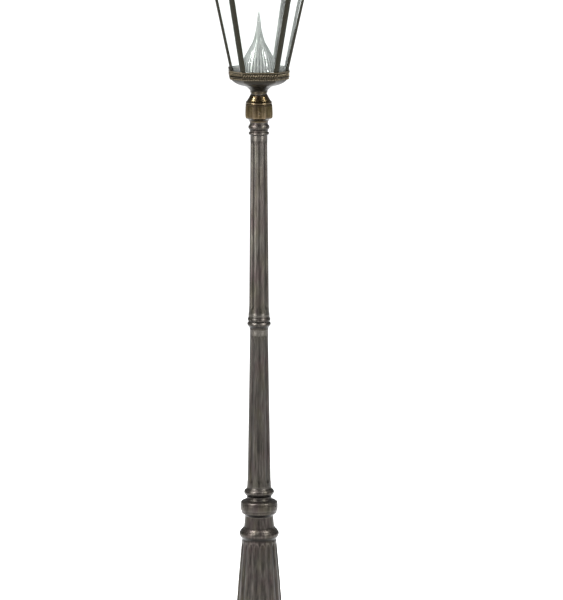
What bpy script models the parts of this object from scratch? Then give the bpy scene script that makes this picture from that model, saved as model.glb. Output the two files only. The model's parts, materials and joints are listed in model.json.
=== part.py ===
"""Street lamp post: a fluted, cast column that carries a cut-corner lantern with a hinged hood.

Metres, +Z up. The origin is on the ground, on the column's axis. The lantern's front faces -Y, and the
column's access door is at the rear, +Y. Every piece is its own closed solid and its own object.
"""

import bmesh
import bpy
from math import atan, cos, pi, radians, sin, sqrt, tan
from mathutils import Matrix, Vector

MM = 0.001
GAP = 0.3 * MM            # what touching pieces keep between their faces
OVERSHOOT = 2 * MM        # how far a cutter reaches past what it cuts
TAN_OCTANT = tan(radians(22.5))

# ---- column: heights of its pieces, bottom to top ----
SKIRT_TOP_Z = 554 * MM
NECK_HEIGHT = 113 * MM
COLLAR_HEIGHT = 129 * MM
LOWER_SHAFT_HEIGHT = 714 * MM
MID_COLLAR_HEIGHT = 72 * MM
UPPER_SHAFT_HEIGHT = 805 * MM
CAPITAL_HEIGHT = 60 * MM
COUPLING_HEIGHT = 122 * MM

# ---- base casting ----
FLANGE_R = 155 * MM
FLANGE_H = 22 * MM
FOOT_RING_R = 130 * MM
FOOT_RING_H = 36 * MM
SKIRT_FOOT_R = 118 * MM
SKIRT_TOP_R = 78 * MM
NECK_FOOT_R = 68.5 * MM
NECK_TOP_R = 63.5 * MM
BASE_WALL = 9 * MM
ANCHOR_HOLES = 4
ANCHOR_HOLE_R = 6.5 * MM
SKIRT_FLUTES = 18
SKIRT_FLUTE_DEPTH = 4.5 * MM
SKIRT_FLUTE_END = 16 * MM

# ---- shafts ----
LOWER_FOOT_R = 54 * MM
LOWER_TOP_R = 41 * MM
UPPER_FOOT_R = 45.5 * MM
UPPER_TOP_R = 38.2 * MM
SHAFT_FLUTES = 8
SHAFT_FLUTE_DEPTH = 4 * MM
SHAFT_FLUTE_ARC = radians(28)
SHAFT_FLUTE_END = 20 * MM
LOWER_TENON_R = 45 * MM
LOWER_TENON_LENGTH = 156 * MM
UPPER_TENON_R = 30 * MM
UPPER_TENON_LENGTH = 115 * MM
SHAFT_WALL = 6 * MM
SPIGOT_R = 30 * MM
SPIGOT_WALL = 4 * MM
SPIGOT_REACH = 80 * MM
COLLAR_SCREWS = 3
COLLAR_SCREW_R = 4 * MM
COUPLING_SCREW_R = 3 * MM

# ---- coupling and stem ----
COUPLING_HALF = 60 * MM
COUPLING_TOP_R = 38 * MM
STEM_R = 13 * MM
STEM_BORE_R = 8 * MM
GASKET_T = 2 * MM

# ---- lantern ----
RIM_HALF = 127 * MM       # half-width across the wide faces, at the foot of the glass
RIM_FRONT = 74.7 * MM     # half-width of one wide face, at the foot of the glass
GLASS_HEIGHT = 430 * MM
GLASS_FLARE = 0.2115      # how far a wide face leans out for each metre of height
CORNER_FLARE = 0.153      # how far a wide face's edge moves out for each metre of height
TRAY_HEIGHT = 106.3 * MM
TRAY_WALL = 6 * MM
BAR_LEG = 14 * MM
BAR_T = 4 * MM
GLASS_T = 4 * MM
GLASS_EDGE = 6 * MM
FRAME_HEIGHT = 20 * MM
EAVES_LIP = 8 * MM        # how far the top frame stands out past the glass

# ---- refractor, lampholder and lamp ----
REFRACTOR_R = 78 * MM
REFRACTOR_HEIGHT = 262 * MM
# The cone's outline from foot to tip, as (share of its height, share of REFRACTOR_R).
REFRACTOR_OUTLINE = (
    (0.0, 1.0), (0.03, 1.0), (0.12, 0.93), (0.21, 0.85), (0.30, 0.70), (0.38, 0.55), (0.45, 0.43),
    (0.51, 0.33), (0.63, 0.22), (0.73, 0.14), (0.87, 0.10), (1.0, 0.02),
)
REFRACTOR_WALL = 3.5 * MM
REFRACTOR_HOLLOW = 0.6    # the share of the cone's height that is hollow; the spike is solid glass
HOLDER_R = 21 * MM
HOLDER_HEIGHT = 44 * MM
LAMP_R = 23 * MM
LAMP_ROOM = 6 * MM        # what the cone keeps clear round the lamp

# ---- hood ----
FASCIA_HEIGHT = 20 * MM
HOOD_RISE = 165 * MM
HOOD_TOP_HALF = 66 * MM
HOOD_WALL = 4 * MM
CHIMNEY_R = 44 * MM
CHIMNEY_HEIGHT = 58 * MM
CHIMNEY_WALL = 3.5 * MM
VENT_CAP_R = 64 * MM
VENT_CAP_HEIGHT = 42 * MM
FINIAL_HEIGHT = 112 * MM
HINGE_PIN_R = 3 * MM
HINGE_KNUCKLE_R = 7 * MM
HINGE_KNUCKLE_LENGTH = 36 * MM
HINGE_LEAF_T = 3 * MM

# ---- hood catch ----
CATCH_REACH = 22 * MM     # pivot to stud
CATCH_T = 3 * MM
CATCH_WIDTH = 14 * MM
STUD_R = 2.5 * MM
PIVOT_R = 3 * MM

# ---- access door and what it covers ----
DOOR_WIDTH = 108 * MM
DOOR_HEIGHT = 256 * MM
DOOR_T = 6 * MM
DOOR_FOOT_Z = 152 * MM
DOOR_LAP = 9 * MM         # how far the door laps over its opening, all round
DOOR_FACE_Y = 124 * MM
DOOR_BORDER = 8 * MM      # the raised frame's width outside the door
PINTLE_R = 2.5 * MM
DOOR_KNUCKLE_R = 5.5 * MM
DOOR_KNUCKLE_LENGTH = 24 * MM
LOCK_R = 7 * MM
LOCK_TONGUE = 17 * MM
BOARD_Y = -36 * MM
BOARD_T = 3 * MM
BOARD_HALF = 42 * MM
BOARD_FOOT_Z = 180 * MM
BOARD_HEIGHT = 225 * MM
CABLE_R = 5 * MM

# ---- heights worked out from the sizes above ----
NECK_TOP_Z = SKIRT_TOP_Z + NECK_HEIGHT
LOWER_SHAFT_Z = NECK_TOP_Z + COLLAR_HEIGHT
MID_COLLAR_Z = LOWER_SHAFT_Z + LOWER_SHAFT_HEIGHT
UPPER_SHAFT_Z = MID_COLLAR_Z + MID_COLLAR_HEIGHT
CAPITAL_Z = UPPER_SHAFT_Z + UPPER_SHAFT_HEIGHT
COUPLING_Z = CAPITAL_Z + CAPITAL_HEIGHT
COUPLING_TOP_Z = COUPLING_Z + COUPLING_HEIGHT
TRAY_Z = COUPLING_TOP_Z + GASKET_T + 2 * GAP
RIM_Z = TRAY_Z + TRAY_HEIGHT
TRAY_FLOOR_Z = RIM_Z - 54 * MM
GALLERY_Z = RIM_Z - 4 * MM
FRAME_Z = RIM_Z + GLASS_HEIGHT
EAVES_HALF = RIM_HALF + GLASS_FLARE * GLASS_HEIGHT + EAVES_LIP
HOOD_Z = FRAME_Z + FRAME_HEIGHT
HOOD_TOP_Z = HOOD_Z + FASCIA_HEIGHT + HOOD_RISE
CHIMNEY_TOP_Z = HOOD_TOP_Z + CHIMNEY_HEIGHT
FINIAL_Z = CHIMNEY_TOP_Z + VENT_CAP_HEIGHT


# ---------------------------------------------------------------- scene and finishes


def clear_scene():
    """Removes whatever the file opened with."""
    for old in list(bpy.data.objects):
        bpy.data.objects.remove(old, do_unlink=True)


def finish(name, colour, roughness, metallic, alpha=1.0):
    """A plain Principled finish; every piece gets its own copy under its own name."""
    made = bpy.data.materials.new(name)
    made.use_nodes = True
    shader = made.node_tree.nodes["Principled BSDF"]
    shader.inputs["Base Color"].default_value = (*colour, 1.0)
    shader.inputs["Roughness"].default_value = roughness
    shader.inputs["Metallic"].default_value = metallic
    shader.inputs["Alpha"].default_value = alpha
    return made


PEWTER = ((0.075, 0.070, 0.062), 0.45, 0.85)
BRONZE = ((0.100, 0.075, 0.048), 0.45, 0.85)
BRASS = ((0.180, 0.105, 0.045), 0.38, 0.90)
STEEL = ((0.550, 0.550, 0.560), 0.35, 1.00)
RUBBER = ((0.020, 0.020, 0.020), 0.80, 0.00)
WHITE = ((0.820, 0.820, 0.800), 0.35, 0.00)
MOULDING = ((0.060, 0.062, 0.065), 0.50, 0.00)
GLASS = ((0.930, 0.960, 0.950), 0.04, 0.00, 0.25)


def add_piece(name, mesh_data, look, smooth_degrees=32):
    """Turns a bmesh into a named object with its own material, its faces pointing out."""
    bmesh.ops.recalc_face_normals(mesh_data, faces=mesh_data.faces)
    mesh = bpy.data.meshes.new(name)
    mesh_data.to_mesh(mesh)
    mesh_data.free()
    mesh.shade_smooth()
    mesh.set_sharp_from_angle(angle=radians(smooth_degrees))
    if look is not None:
        mesh.materials.append(finish(name, *look))
    piece = bpy.data.objects.new(name, mesh)
    bpy.context.scene.collection.objects.link(piece)
    return piece


def combine(piece, tool, operation):
    """Adds or cuts a helper shape with a Boolean; the helper itself is never shown."""
    tool.hide_render = True
    tool.display_type = "WIRE"
    step = piece.modifiers.new(tool.name, "BOOLEAN")
    step.operation = operation
    step.solver = "EXACT"
    step.object = tool


def hang_on_axis(name, place, pieces):
    """Puts an empty on a joint's axis and parents the moving pieces to it."""
    axis = bpy.data.objects.new(name, None)
    axis.location = place
    bpy.context.scene.collection.objects.link(axis)
    for piece in pieces:
        piece.parent = axis
        piece.matrix_parent_inverse = Matrix.Translation(-Vector(place))


# ---------------------------------------------------------------- shapes


def skin(rings, loop):
    """Joins rings of equal length with quads. A loop joins last to first; else both ends close."""
    shape = bmesh.new()
    rows = [[shape.verts.new(point) for point in ring] for ring in rings]
    pairs = list(zip(rows, rows[1:]))
    if loop:
        pairs.append((rows[-1], rows[0]))
    for low, high in pairs:
        for i in range(len(low)):
            j = (i + 1) % len(low)
            shape.faces.new((low[i], low[j], high[j], high[i]))
    if not loop:
        shape.faces.new(list(reversed(rows[0])))
        shape.faces.new(rows[-1])
    return shape


def round_ring(r, z, sides, centre=(0.0, 0.0)):
    step = 2 * pi / sides
    x, y = centre[:2]
    return [Vector((x + r * cos(step * i), y + r * sin(step * i), z)) for i in range(sides)]


def turned(name, outline, look, sides=28, loop=True):
    """A turned piece. A looped outline is a hollow ring; an open one runs from its foot to its top."""
    return add_piece(name, skin([round_ring(r, z, sides) for r, z in outline], loop), look)


def rod(name, start, end, r, look=None, sides=24):
    """A plain cylinder between two points."""
    start, end = Vector(start), Vector(end)
    turn = (end - start).to_track_quat("Z", "Y")
    rings = []
    for z in (0.0, (end - start).length):
        rings.append([start + turn @ point for point in round_ring(r, z, sides)])
    return add_piece(name, skin(rings, False), look)


def profile_rod(name, start, direction, outline, look, sides=24):
    """A turned solid on any axis: outline points are (radius, distance from start)."""
    start = Vector(start)
    turn = Vector(direction).to_track_quat("Z", "Y")
    rings = [[start + turn @ point for point in round_ring(r, z, sides)] for r, z in outline]
    return add_piece(name, skin(rings, False), look)


def block(name, low, high, look=None):
    """A box from its lowest to its highest corner."""
    corners = ((low[0], low[1]), (high[0], low[1]), (high[0], high[1]), (low[0], high[1]))
    rings = [[Vector((x, y, z)) for x, y in corners] for z in (low[2], high[2])]
    return add_piece(name, skin(rings, False), look)


def plate(name, outline, y_front, y_back, look):
    """A flat plate that faces front: outline points are (x, z)."""
    rings = [[Vector((x, y, z)) for x, z in outline] for y in (y_front, y_back)]
    return add_piece(name, skin(rings, False), look)


def arc_points(centre, r, start, end, steps):
    """Points on a circular arc, from start to end in degrees."""
    points = []
    for i in range(steps + 1):
        angle = radians(start + (end - start) * i / steps)
        points.append((centre[0] + r * cos(angle), centre[1] + r * sin(angle)))
    return points


# ---- fluted rings ----


def flute_angles(flutes, arc, across=4, between=2):
    """Angles round a fluted shaft, with a flute's middle on the front, -Y."""
    pitch = 2 * pi / flutes
    angles = []
    for k in range(flutes):
        middle = -pi / 2 + k * pitch
        angles += [middle - arc / 2 + arc * i / across for i in range(across + 1)]
        angles += [middle + arc / 2 + (pitch - arc) * (i + 1) / between for i in range(between - 1)]
    return angles


def fluted_ring(r, z, depth, flutes, arc, angles):
    """One ring of a fluted shaft: each flute is a round hollow of the depth given."""
    pitch = 2 * pi / flutes
    ring = []
    for angle in angles:
        off = (angle + pi / 2 + pitch / 2) % pitch - pitch / 2
        share = min(1.0, abs(off) / (arc / 2))
        here = r - depth * sqrt(max(0.0, 1.0 - share * share))
        ring.append(Vector((here * cos(angle), here * sin(angle), z)))
    return ring


def flute_levels(foot, length, end, steps=2):
    """Heights up a flute with its share of full depth: round at both ends, full between."""
    shares = [i / steps for i in range(steps + 1)]
    rises = [(end * (1 - cos(pi / 2 * share)), sin(pi / 2 * share)) for share in shares]
    low = [(foot + rise, depth) for rise, depth in rises]
    high = [(foot + length - rise, depth) for rise, depth in reversed(rises)]
    return low + high


# ---- cut-corner rings ----


def cut_corner(half, front, z):
    """The eight corners of a square with its corners cut off, anticlockwise from the front left."""
    flat = ((-front, -half), (front, -half), (half, -front), (half, front))
    flat += ((front, half), (-front, half), (-half, front), (-half, -front))
    return [Vector((x, y, z)) for x, y in flat]


def grown(half, front, by):
    """The cut-corner plan moved outwards by the same distance on every side."""
    return half + by, front + by * TAN_OCTANT


def glass_plan(z):
    """The lantern's outer plan at a height: half-width, and half the width of a wide face."""
    rise = z - RIM_Z
    return RIM_HALF + GLASS_FLARE * rise, RIM_FRONT + CORNER_FLARE * rise


def bowl_angles(front_share, per_face=4, per_corner=2):
    """Angles round the bowl, which include the plan's eight corners."""
    corner = atan(front_share)
    angles = []
    for quadrant in range(4):
        middle = quadrant * pi / 2
        angles += [middle - corner + 2 * corner * i / per_face for i in range(per_face + 1)]
        rest = pi / 2 - 2 * corner
        angles += [middle + corner + rest * (i + 1) / per_corner for i in range(per_corner - 1)]
    return angles


def bowl_ring(half, z, roundness, front_share, angles):
    """A ring between the cut-corner plan (roundness 0) and a circle (roundness 1)."""
    ring = []
    for angle in angles:
        reach = min(
            half * (1.0 if k % 2 == 0 else (1 + front_share) / sqrt(2)) / cos(angle - k * pi / 4)
            for k in range(-1, 9)
            if cos(angle - k * pi / 4) > 0.5
        )
        r = reach + (half - reach) * roundness
        ring.append(Vector((r * cos(angle), r * sin(angle), z)))
    return ring


# ---------------------------------------------------------------- base


def skirt_radius(z):
    """The skirt's radius at a height, measured over its ridges."""
    share = (z - FLANGE_H - FOOT_RING_H) / (SKIRT_TOP_Z - FLANGE_H - FOOT_RING_H)
    return SKIRT_FOOT_R + (SKIRT_TOP_R - SKIRT_FOOT_R) * share


def base_casting():
    """One hollow casting: floor flange, foot ring, fluted skirt, ring moulding and plain neck."""
    arc = radians(15)
    angles = flute_angles(SKIRT_FLUTES, arc, across=3, between=1)
    foot_z = FLANGE_H + FOOT_RING_H
    skirt_length = SKIRT_TOP_Z - foot_z

    def plain(r, z):
        return fluted_ring(r, z, 0.0, SKIRT_FLUTES, arc, angles)

    rings = [
        plain(FLANGE_R, 0.0), plain(FLANGE_R, FLANGE_H - 3 * MM),
        plain(FLANGE_R - 3 * MM, FLANGE_H)
    ]
    ring_mid = FLANGE_H + FOOT_RING_H / 2 - 2 * MM
    for r, z in arc_points((FOOT_RING_R - 14 * MM, ring_mid), 14 * MM, -80, 80, 3):
        rings.append(plain(r, z))
    rings.append(plain(SKIRT_FOOT_R + 3 * MM, foot_z - 4 * MM))
    rings.append(plain(skirt_radius(foot_z), foot_z))
    first, last = foot_z + 10 * MM, SKIRT_TOP_Z - 8 * MM
    for z, share in flute_levels(first, last - first, SKIRT_FLUTE_END):
        depth = SKIRT_FLUTE_DEPTH * share * skirt_radius(z) / SKIRT_FOOT_R
        rings.append(fluted_ring(skirt_radius(z), z, depth, SKIRT_FLUTES, arc, angles))
    rings.append(plain(SKIRT_TOP_R, SKIRT_TOP_Z))
    groove = SKIRT_TOP_R - 1.2 * MM
    above = SKIRT_TOP_Z + 12 * MM
    mouldings = [
        (groove, SKIRT_TOP_Z + 2 * MM), (groove + 2 * MM, above),
        (SKIRT_TOP_R + 7.5 * MM, above + 7 * MM)
    ]
    mouldings += [(SKIRT_TOP_R + 10.8 * MM, above + 20 * MM), (SKIRT_TOP_R + 6.5 * MM, above + 32 * MM)]
    mouldings += [(SKIRT_TOP_R - 1 * MM, above + 40 * MM), (NECK_FOOT_R, above + 50 * MM)]
    mouldings += [(NECK_FOOT_R - 2 * MM, above + 62 * MM), (NECK_TOP_R, NECK_TOP_Z)]
    rings += [plain(r, z) for r, z in mouldings]
    socket_r = LOWER_TENON_R + GAP
    tenon_foot = NECK_TOP_Z - LOWER_TENON_LENGTH + COLLAR_HEIGHT
    rings.append(plain(socket_r, NECK_TOP_Z))
    rings.append(plain(socket_r, tenon_foot - GAP))
    rings.append(plain(socket_r - 6 * MM, tenon_foot - GAP))
    rings.append(plain(socket_r - 6 * MM, tenon_foot - 12 * MM))
    inner = SKIRT_TOP_R - SKIRT_FLUTE_DEPTH - BASE_WALL
    rings.append(plain(inner, tenon_foot - 40 * MM))
    rings.append(plain(skirt_radius(foot_z) - SKIRT_FLUTE_DEPTH - BASE_WALL, 0.0))
    casting = add_piece("base_casting", skin(rings, True), PEWTER)

    half = DOOR_WIDTH / 2 + DOOR_BORDER
    top = DOOR_FOOT_Z + DOOR_HEIGHT
    inside_y = skirt_radius(top) * 0.72
    frame = block(
        "door_frame", (-half, inside_y, DOOR_FOOT_Z - DOOR_BORDER),
        (half, DOOR_FACE_Y, top + DOOR_BORDER)
    )
    combine(casting, frame, "UNION")
    clear = DOOR_WIDTH / 2 - DOOR_LAP
    low_z, high_z = DOOR_FOOT_Z + DOOR_LAP, top - DOOR_LAP
    opening = block("door_opening", (-clear, 0.04, low_z), (clear, DOOR_FACE_Y + OVERSHOOT, high_z))
    combine(casting, opening, "DIFFERENCE")
    lock_x, lock_z = lock_place()
    pocket_low = (clear - OVERSHOOT, DOOR_FACE_Y - 12 * MM, lock_z - 6 * MM)
    pocket_high = (lock_x + LOCK_TONGUE + 1.5 * MM, DOOR_FACE_Y - 3 * MM, lock_z + LOCK_TONGUE + 1 * MM)
    combine(casting, block("lock_pocket", pocket_low, pocket_high), "DIFFERENCE")
    hole_circle = (FLANGE_R + FOOT_RING_R) / 2
    for k in range(ANCHOR_HOLES):
        angle = pi / 4 + k * 2 * pi / ANCHOR_HOLES
        x, y = hole_circle * cos(angle), hole_circle * sin(angle)
        hole = rod(
            f"anchor_hole_{k}", (x, y, -OVERSHOOT), (x, y, FLANGE_H + OVERSHOOT), ANCHOR_HOLE_R,
            sides=12
        )
        combine(casting, hole, "DIFFERENCE")
    return casting


# ---------------------------------------------------------------- door and service gear


def lock_place():
    """The lock spindle's axis, near the door's free edge, at mid-height."""
    return DOOR_WIDTH / 2 - DOOR_LAP - LOCK_R - 1.5 * MM, DOOR_FOOT_Z + DOOR_HEIGHT / 2


def door_axis():
    """The door's hinge axis: upright, just outside the door's left edge."""
    return -(DOOR_WIDTH / 2 + DOOR_KNUCKLE_R + 1.5 * MM), DOOR_FACE_Y + DOOR_KNUCKLE_R + 0.8 * MM


def access_door():
    """The flat cast door with two knuckles, on two pintles that stand on the frame."""
    x, y = door_axis()
    half = DOOR_WIDTH / 2
    face = DOOR_FACE_Y + GAP
    low = (-half, face, DOOR_FOOT_Z)
    high = (half, face + DOOR_T, DOOR_FOOT_Z + DOOR_HEIGHT)
    door = block("access_door", low, high, PEWTER)
    lock_x, lock_z = lock_place()
    inset = 12 * MM
    panel_low = (low[0] + inset, face + DOOR_T - 1.5 * MM, low[2] + inset)
    panel_high = (high[0] - inset, face + DOOR_T + 2.5 * MM, high[2] - inset)
    combine(door, block("door_panel", panel_low, panel_high), "UNION")
    knuckle_bore_r = PINTLE_R + GAP
    for label, z in (("lower", DOOR_FOOT_Z + 36 * MM), ("upper", DOOR_FOOT_Z + DOOR_HEIGHT - 60 * MM)):
        top = z + DOOR_KNUCKLE_LENGTH
        web_low = (x, face + 1 * MM, z)
        web_high = (-half + OVERSHOOT, face + DOOR_T - 1 * MM, top)
        combine(door, block(f"knuckle_web_{label}", web_low, web_high), "UNION")
        combine(
            door, rod(f"knuckle_{label}", (x, y, z), (x, y, top), DOOR_KNUCKLE_R, sides=20),
            "UNION"
        )
        bore = rod(
            f"knuckle_bore_{label}", (x, y, z - OVERSHOOT), (x, y, top + OVERSHOOT),
            knuckle_bore_r, sides=20
        )
        combine(door, bore, "DIFFERENCE")
        pintle = rod(
            f"door_pintle_{label}", (x, y, z - 16 * MM), (x, y, z - GAP), DOOR_KNUCKLE_R, STEEL, 20
        )
        pin = rod(f"pintle_pin_{label}", (x, y, z - 4 * MM), (x, y, top + 2 * MM), PINTLE_R, sides=20)
        foot_low = (x - 4 * MM, DOOR_FACE_Y + GAP, z - 16 * MM + 0.5 * MM)
        foot_high = (x + 4 * MM, y, z - GAP - 0.5 * MM)
        combine(pintle, pin, "UNION")
        combine(pintle, block(f"pintle_foot_{label}", foot_low, foot_high), "UNION")
    hole_end = face + DOOR_T + 10 * MM
    hole = rod(
        "lock_hole", (lock_x, face - OVERSHOOT, lock_z), (lock_x, hole_end, lock_z), LOCK_R + GAP
    )
    combine(door, hole, "DIFFERENCE")
    lock = door_lock(lock_x, lock_z, face + DOOR_T + 2.5 * MM)
    hang_on_axis("door_axis", (x, y, DOOR_FOOT_Z), [door])
    hang_on_axis("door_lock_axis", (lock_x, face, lock_z), [lock])


def door_lock(x, z, front):
    """The lock's spindle with a triangular key hole, and the tongue that turns behind the frame."""
    back = DOOR_FACE_Y - 11 * MM
    outline = [(LOCK_R, 0.0), (LOCK_R, front - back + GAP), (LOCK_R + 3 * MM, front - back + GAP)]
    outline += [(LOCK_R + 3 * MM, front - back + 2 * MM), (LOCK_R + 2 * MM, front - back + 3 * MM)]
    lock = profile_rod("door_lock", (x, back, z), (0, 1, 0), outline, STEEL)
    tongue = block(
        "lock_tongue", (x - 5 * MM, back + 0.5 * MM, z), (x + 5 * MM, back + 5.5 * MM, z + LOCK_TONGUE)
    )
    combine(lock, tongue, "UNION")
    key_r = 4.5 * MM
    key_front = front + 6 * MM
    key = rod("key_hole", (x, front - 6 * MM, z), (x, key_front, z), key_r, sides=3)
    combine(lock, key, "DIFFERENCE")
    return lock


def service_gear():
    """The board inside the base, with the cut-out, its pull-out carrier and fuse, and the terminals."""
    face = BOARD_Y + BOARD_T
    top = BOARD_FOOT_Z + BOARD_HEIGHT
    block("gear_board", (-BOARD_HALF, BOARD_Y, BOARD_FOOT_Z), (BOARD_HALF, face, top), STEEL)
    reach = SKIRT_TOP_R - SKIRT_FLUTE_DEPTH - BASE_WALL - 6 * MM
    half = sqrt(reach ** 2 - BOARD_Y ** 2)
    strap_low = (-half, BOARD_Y - GAP - 5 * MM, top - 30 * MM)
    block("board_strap", strap_low, (half, BOARD_Y - GAP, top - 12 * MM), STEEL)
    body_back = face + GAP
    cut_z = BOARD_FOOT_Z + 110 * MM
    cut_half, cut_height, cut_depth = 28 * MM, 95 * MM, 42 * MM
    cut_out = block(
        "cut_out_body",
        (-cut_half, body_back, cut_z),
        (cut_half, body_back + cut_depth, cut_z + cut_height),
        MOULDING,
    )
    slot_half, slot_low, slot_high = 16 * MM, cut_z + 18 * MM, cut_z + 78 * MM
    slot_back = body_back + 15 * MM
    slot = block(
        "carrier_slot", (-slot_half, slot_back, slot_low), (
            slot_half, body_back + cut_depth + OVERSHOOT, slot_high
        )
    )
    combine(cut_out, slot, "DIFFERENCE")
    play = 0.5 * MM
    carrier_front = body_back + cut_depth + 8 * MM
    carrier = block(
        "fuse_carrier",
        (-slot_half + play, slot_back + play, slot_low + play),
        (slot_half - play, carrier_front, slot_high - play),
        MOULDING,
    )
    fuse_r, fuse_half = 5 * MM, 19 * MM
    middle = (slot_low + slot_high) / 2
    notch = block(
        "fuse_notch",
        (-fuse_r - play, slot_back - OVERSHOOT, middle - fuse_half - play),
        (fuse_r + play, slot_back + play + 2 * fuse_r + play, middle + fuse_half + play),
    )
    combine(carrier, notch, "DIFFERENCE")
    fuse_y = slot_back + play + fuse_r
    fuse = rod(
        "fuse_link", (
            0, fuse_y, middle - fuse_half + GAP
        ), (0, fuse_y, middle + fuse_half - GAP), fuse_r - GAP, WHITE, 20
    )
    hang_on_axis("fuse_carrier_axis", (0, carrier_front, middle), [carrier, fuse])
    terminal = block(
        "terminal_block",
        (-25 * MM, body_back, BOARD_FOOT_Z + 12 * MM),
        (25 * MM, body_back + 20 * MM, BOARD_FOOT_Z + 50 * MM),
        WHITE,
    )
    for k in range(3):
        x = (k - 1) * 15 * MM
        hole_z = BOARD_FOOT_Z + 50 * MM
        hole = rod(
            f"wire_way_{k}", (x, body_back + 10 * MM, hole_z - 14 * MM),
            (x, body_back + 10 * MM, hole_z + OVERSHOOT), 3 * MM, sides=12
        )
        combine(terminal, hole, "DIFFERENCE")
    supply_cable((0.0, body_back + 12 * MM, cut_z + cut_height + GAP))


def supply_cable(start):
    """The cable from the cut-out up the column's middle to the lampholder, with one easy bend."""
    top = GALLERY_Z - 8 * MM
    first = Vector(start)
    points = [first, first + Vector((0, 0, 30 * MM))]
    bend_z = 110 * MM
    for i in range(1, 9):
        share = i / 8
        ease = share * share * (3 - 2 * share)
        points.append(Vector((0, first.y * (1 - ease), first.z + 30 * MM + bend_z * share)))
    steps = 4
    low = points[-1].z
    points += [Vector((0, 0, low + (top - low) * (i + 1) / steps)) for i in range(steps)]
    section = round_ring(CABLE_R, 0.0, 10)
    rings = [[point + corner for corner in section] for point in points]
    add_piece("supply_cable", skin(rings, False), RUBBER)


# ---------------------------------------------------------------- column


def base_collar():
    """The heavy ring that caps the neck, and the grub screws that grip the shaft's tenon."""
    z = NECK_TOP_Z + GAP
    bore = LOWER_TENON_R + GAP
    outline = [
        (NECK_TOP_R + 1 * MM, z), (NECK_TOP_R + 5 * MM, z + 5 * MM),
        (NECK_TOP_R + 12 * MM, z + 11 * MM)
    ]
    outline += [(NECK_TOP_R + 15 * MM, z + 15 * MM), (NECK_TOP_R + 17 * MM, z + 24 * MM)]
    outline += [(NECK_TOP_R + 19.7 * MM, z + 43 * MM), (NECK_TOP_R + 19.7 * MM, z + 52 * MM)]
    outline += [(NECK_TOP_R + 14 * MM, z + 65 * MM), (NECK_TOP_R + 8 * MM, z + 74 * MM)]
    outline += [(LOWER_FOOT_R + 1.2 * MM, z + 82 * MM), (LOWER_FOOT_R + 3 * MM, z + 89 * MM)]
    bead = arc_points((LOWER_FOOT_R + 3 * MM, z + 106 * MM), 10.2 * MM, -62, 62, 3)
    outline += bead + [
        (LOWER_FOOT_R + 3 * MM, z + 121 * MM),
        (LOWER_FOOT_R + 1.5 * MM, z + COLLAR_HEIGHT - 2 * GAP)
    ]
    outline += [(bore, z + COLLAR_HEIGHT - 2 * GAP), (bore, z)]
    collar = turned("base_collar", outline, PEWTER)
    screw_z = z + 47 * MM
    outer = NECK_TOP_R + 19.7 * MM
    for k in range(COLLAR_SCREWS):
        angle = radians(90) + k * 2 * pi / COLLAR_SCREWS
        way = Vector((cos(angle), sin(angle), 0.0))
        lift = Vector((0, 0, screw_z))
        hole = rod(
            f"collar_hole_{k}",
            way * (bore - OVERSHOOT) + lift,
            way * (outer + OVERSHOOT) + lift,
            COLLAR_SCREW_R + GAP,
            sides=12,
        )
        combine(collar, hole, "DIFFERENCE")
        rod(
            f"collar_screw_{k + 1}", way * bore + lift, way * (outer - 3 * MM) + lift,
            COLLAR_SCREW_R, STEEL, 12
        )


def shaft(name, z_foot, height, foot_r, top_r, foot_flare, tenon):
    """A fluted, tapered tube. tenon is (radius, length, at the top or not); the bore takes the spigot."""
    arc = SHAFT_FLUTE_ARC
    angles = flute_angles(SHAFT_FLUTES, arc)
    low, high = z_foot + GAP, z_foot + height - GAP
    tenon_r, tenon_length, tenon_on_top = tenon
    spigot_bore = SPIGOT_R + GAP

    def plain(r, z):
        return fluted_ring(r, z, 0.0, SHAFT_FLUTES, arc, angles)

    def taper(z):
        return foot_r + (top_r - foot_r) * (z - low) / (high - low)

    rings = []
    if not tenon_on_top:
        rings += [plain(tenon_r, low - tenon_length), plain(tenon_r, low)]
    rings += [plain(foot_r + foot_flare, low), plain(taper(low + 14 * MM), low + 14 * MM)]
    for z, share in flute_levels(low + 22 * MM, high - low - 44 * MM, SHAFT_FLUTE_END):
        rings.append(fluted_ring(taper(z), z, SHAFT_FLUTE_DEPTH * share, SHAFT_FLUTES, arc, angles))
    rings.append(plain(top_r, high))
    if tenon_on_top:
        rings += [plain(tenon_r, high), plain(tenon_r, high + tenon_length)]
        inner = tenon_r - SPIGOT_WALL
        rings += [plain(inner, high + tenon_length), plain(inner, low + SPIGOT_REACH + 20 * MM)]
        rings += [plain(spigot_bore, low + SPIGOT_REACH + 10 * MM), plain(spigot_bore, low)]
    else:
        rings += [plain(spigot_bore, high), plain(spigot_bore, high - SPIGOT_REACH - 10 * MM)]
        inner = tenon_r - SHAFT_WALL
        rings += [plain(inner, low + 60 * MM), plain(inner, low - tenon_length)]
    add_piece(name, skin(rings, True), PEWTER)


def shafts():
    lower_tenon = (LOWER_TENON_R, LOWER_TENON_LENGTH - GAP, False)
    shaft(
        "lower_shaft", LOWER_SHAFT_Z, LOWER_SHAFT_HEIGHT, LOWER_FOOT_R, LOWER_TOP_R, 1 * MM,
        lower_tenon
    )
    upper_tenon = (UPPER_TENON_R, UPPER_TENON_LENGTH, True)
    shaft(
        "upper_shaft", UPPER_SHAFT_Z, UPPER_SHAFT_HEIGHT, UPPER_FOOT_R, UPPER_TOP_R, 2 * MM,
        upper_tenon
    )


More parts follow.
